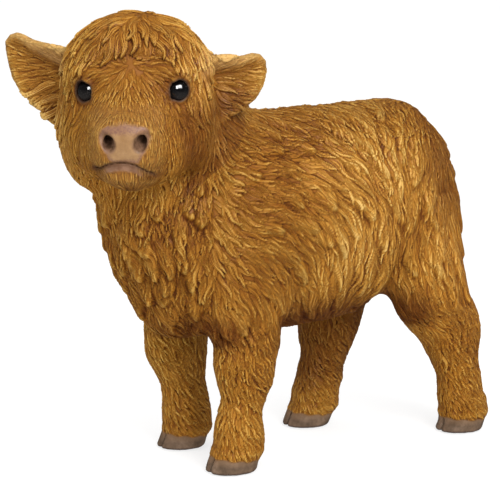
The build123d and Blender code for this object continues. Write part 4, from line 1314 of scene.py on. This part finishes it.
def eyeball(node, side):
    c = HEAD_O + EYE_C[0] * HF + (EYE_MID + 0.4 + side * (EYE_C[1] + 0.3)) * HL + EYE_C[2] * HU
    ax = unit_rows(EYE_3[0] * HF + side * EYE_3[1] * HL + EYE_3[2] * HU)
    e1 = unit_rows(np.cross(ax, EZ)); e2 = np.cross(ax, e1)
    m, n = 28, 56
    vs = [c + ax * EYE_R * 1.03]
    for i in range(1, m):
        a = math.pi * i / m
        for j in range(n):
            b = 2 * math.pi * j / n
            vs.append(c + EYE_R * (1.0 + 0.03 * max(0, math.cos(a)) ** 3) * (math.cos(a) * ax + math.sin(a) * (math.cos(b) * e1 + math.sin(b) * e2)))
    vs.append(c - ax * EYE_R)
    k = lambda i, j: 1 + (i - 1) * n + j % n
    fs = [(0, k(1, j), k(1, j + 1)) for j in range(n)]
    for i in range(1, m - 1):
        fs += [(k(i, j), k(i + 1, j), k(i + 1, j + 1), k(i, j + 1)) for j in range(n)]
    fs += [(k(m - 1, j), len(vs) - 1, k(m - 1, j + 1)) for j in range(n)]
    vs = np.array(vs)
    a, b_, c_ = vs[fs[0][0]], vs[fs[0][1]], vs[fs[0][2]]
    if np.cross(b_ - a, c_ - a) @ ax < 0:
        fs = [f[::-1] for f in fs]
    me = bpy.data.meshes.new('ball_' + node)
    me.from_pydata([tuple((v + SHIFT) / 1000.0) for v in vs], [], fs)
    me.polygons.foreach_set('use_smooth', [True] * len(fs))
    me.materials.append(MAT['eye'])
    ob = bpy.data.objects.new('ball_' + node, me); bpy.context.scene.collection.objects.link(ob)
    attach(ob, 'root'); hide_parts(node)


def plain_material(name, lo, hi, rough, metal=0.0, scale=300.0):
    m, t, b = nodes_of(name)
    g = G(t)
    pos = g.n('ShaderNodeTexCoord').outputs['Object']
    t.links.new(g.ramp(g.noise(pos, scale, 3.0), [(.35, lo), (.65, hi)]), b.inputs['Base Color'])
    bp = g.n('ShaderNodeBump'); bp.inputs['Strength'].default_value = .25; bp.inputs['Distance'].default_value = .0003
    g.put(bp.inputs['Height'], g.noise(pos, scale * 4, 2.0)); t.links.new(bp.outputs[0], b.inputs['Normal'])
    b.inputs['Roughness'].default_value = rough; b.inputs['Metallic'].default_value = metal
    return m


MAT['eye'] = eye_material()
MAT['plug'] = plain_material('plug_resin', (.20, .09, .02), (.29, .13, .03), .6)
MAT['steel'] = plain_material('rod_steel', (.45, .45, .46), (.60, .60, .61), .35, 1.0, 800.0)

def settle(Q, lab):
    """Evens the cuts between pieces: lone faces and small islands go to the piece around them."""
    n = len(Q)
    e = np.sort(np.concatenate([Q[:, [0, 1]], Q[:, [1, 2]], Q[:, [2, 3]], Q[:, [3, 0]]]), 1)
    fi = np.tile(np.arange(n), 4)
    k = e[:, 0].astype(np.int64) * (int(Q.max()) + 1) + e[:, 1]
    o = np.argsort(k, kind='stable'); k = k[o]; fi = fi[o]
    s = k[1:] == k[:-1]
    a, b = fi[:-1][s], fi[1:][s]

    def across(lab):
        d = lab[a] != lab[b]
        out = -np.ones(n, int)
        out[a[d]] = lab[b[d]]; out[b[d]] = lab[a[d]]
        return d, out
    for it in range(8):
        d, other = across(lab)
        own = np.bincount(a[~d], minlength=n) + np.bincount(b[~d], minlength=n)
        side = (lab > 0) if it % 2 == 0 else (lab == 0)
        lab = np.where((own <= 1) & (other >= 0) & side, other, lab)
    for _ in range(3):
        d, other = across(lab)
        p, q = a[~d], b[~d]
        comp = np.arange(n)
        while True:
            m = np.minimum(comp[p], comp[q])
            new = comp.copy()
            for t in (p, q, comp[p], comp[q]):
                np.minimum.at(new, t, m)
            new = new[new]
            if (new == comp).all():
                break
            comp = new
        small = np.bincount(comp, minlength=n)[comp] < 600
        take = -np.ones(n, int)
        m = small & (other >= 0)
        take[comp[m]] = other[m]
        move = small & (take[comp] >= 0)
        if not move.any():
            break
        lab = np.where(move, take[comp], lab)
    return lab


# body skin: legs and tail are their own pieces
FB = Vb[Qb].mean(1)
lab = np.zeros(len(Qb), int)
names = ['torso_skin']
for k, r0 in LEGS.items():
    names.append(k)
    m = (FB[:, 2] < SEAM_Z[k]) & (LEG_LOFT[k](FB) < 6.0)
    lab[m & (lab == 0)] = len(names) - 1
names.append('tail')
m = (TAIL(FB) < 1.0) & (FB[:, 2] > 93) & (FB[:, 2] < 204) & (FB[:, 1] > 120) & (lab == 0)
lab[m] = len(names) - 1
lab = settle(Qb, lab)
attb = {k: a[:nb] for k, a in ATT.items()}
atth = {k: a[nb:] for k, a in ATT.items()}
NODE = {'torso_skin': 'torso_casting'}
PIECES = {}
for i, nm in enumerate(names):
    PIECES[nm] = make_piece('fur_' + nm.replace('_skin', ''), Db, nB, Qb[lab == i], attb, NODE.get(nm, nm), None)

FH = Vh[Qh].mean(1)
HH = head_co(FH)
lab = np.zeros(len(Qh), int)
d_no = sdf(FH, ears=False)
for i, (e, sg) in enumerate((('ear_left', 1), ('ear_right', -1))):
    m = (d_no > 2.0) & (sg * HH[:, 1] > 34) & (HH[:, 0] < 20)
    lab[m] = i + 1
lab = settle(Qh, lab)
say('cuts')
for i, nm in enumerate(['head', 'ear_left', 'ear_right']):
    PIECES[nm] = make_piece('fur_' + nm, Dh, nH, Qh[lab == i], atth, {'head': 'head_casting'}.get(nm, nm), None)
eyeball('eye_left', 1); eyeball('eye_right', -1)
say('pieces', {k: len(o.data.polygons) for k, o in PIECES.items()})

for nm, ob in frame['nodes'].items():
    mt = MAT['eye'] if nm.startswith('eye') else MAT['plug'] if nm == 'belly_plug' else MAT['steel'] if (nm.startswith('rod') or nm in ('neck_dowels', 'ear_pins', 'tail_pin')) else MAT['coat']
    for sl in ob.material_slots:
        sl.material = mt
    if not ob.material_slots:
        ob.data.materials.append(mt)

# ---------- floor, light, camera ----------
def floor():
    m, t, b = nodes_of('floor_paper')
    g = G(t)
    pos = g.n('ShaderNodeTexCoord').outputs['Object']
    t.links.new(g.ramp(g.noise(pos, 3.0, 2.0), [(0, (.295, .295, .295)), (1, (.305, .305, .305))]), b.inputs['Base Color'])
    # a lit table: bright enough that the feet leave only a faint shadow
    b.inputs['Emission Color'].default_value = (1, 1, 1, 1)
    b.inputs['Emission Strength'].default_value = .72
    b.inputs['Roughness'].default_value = .9
    b.inputs['Specular IOR Level'].default_value = .1
    me = bpy.data.meshes.new('floor')
    s = 6.0
    me.from_pydata([(-s, -s, -.0004), (s, -s, -.0004), (s, s, -.0004), (-s, s, -.0004)], [], [(0, 1, 2, 3)])
    me.materials.append(m)
    o = bpy.data.objects.new('floor', me); bpy.context.scene.collection.objects.link(o)
    o.visible_glossy = False


floor()
w = bpy.data.worlds.new('studio'); bpy.context.scene.world = w; w.use_nodes = True
_t = w.node_tree
_bg = _t.nodes['Background']; _bg.inputs[0].default_value = (1.0, 1.0, 1.0, 1)
_lp = _t.nodes.new('ShaderNodeLightPath'); _mr = _t.nodes.new('ShaderNodeMapRange')
_mr.inputs['To Min'].default_value = 1.0; _mr.inputs['To Max'].default_value = 0.10
_t.links.new(_lp.outputs['Is Glossy Ray'], _mr.inputs['Value']); _t.links.new(_mr.outputs[0], _bg.inputs[1])


def area(name, az, el, dist, size, energy, color=(1, 1, 1), aim=(0, 0, .13)):
    a, e = math.radians(az), math.radians(el)
    d = Vector((math.sin(a)*math.cos(e), -math.cos(a)*math.cos(e), math.sin(e)))
    l = bpy.data.lights.new(name, 'AREA'); l.shape = 'RECTANGLE'; l.size = size[0]; l.size_y = size[1]; l.energy = energy; l.color = color
    o = bpy.data.objects.new(name, l); bpy.context.scene.collection.objects.link(o)
    o.location = Vector(aim) + d * dist
    o.rotation_mode = 'QUATERNION'; o.rotation_quaternion = d.to_track_quat('Z', 'Y')
    return o


area('key', 84, 40, 1.5, (.6, .6), 17.0, (1.0, .985, .96))
area('fill', 14, 30, 1.6, (1.0, .9), 3.0, (.98, .99, 1.0)).visible_glossy = False
area('top', 60, 82, 1.4, (1.0, 1.0), 3.0).visible_glossy = False
area('sheen', 80, 36, 1.25, (.84, .60), 22.0).visible_diffuse = False
# one small window of light mirrored in each eye, which only that eye receives
for nm, az, size, power in (('eye_right', 46, (.34, .46), 16.0), ('eye_left', 52, (.34, .54), 19.0)):
    o = area('window_' + nm, az, 31, 1.25, size, power)
    o.visible_diffuse = False
    only = bpy.data.collections.new('lit_' + nm)
    only.objects.link(bpy.data.objects['ball_' + nm])
    o.light_linking.receiver_collection = only

AZ, EL, DIST, FPX = math.radians(58.5), math.radians(11.0), 1.5, 2325.0
back = Vector((math.sin(AZ)*math.cos(EL), -math.cos(AZ)*math.cos(EL), math.sin(EL)))
cd = bpy.data.cameras.new('camera'); co = bpy.data.objects.new('camera', cd); bpy.context.scene.collection.objects.link(co)
co.location = Vector((-.00424, -.01305, .1396)) + back * DIST
co.rotation_mode = 'QUATERNION'; co.rotation_quaternion = (-back).to_track_quat('-Z', 'Y')
cd.sensor_width = 36.0; cd.lens = FPX / 500 * 36.0; cd.clip_start = .05; cd.clip_end = 30
bpy.context.scene.camera = co
bpy.context.scene.view_settings.view_transform = 'Standard'
bpy.context.scene.view_settings.look = 'None'

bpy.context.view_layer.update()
say('done')
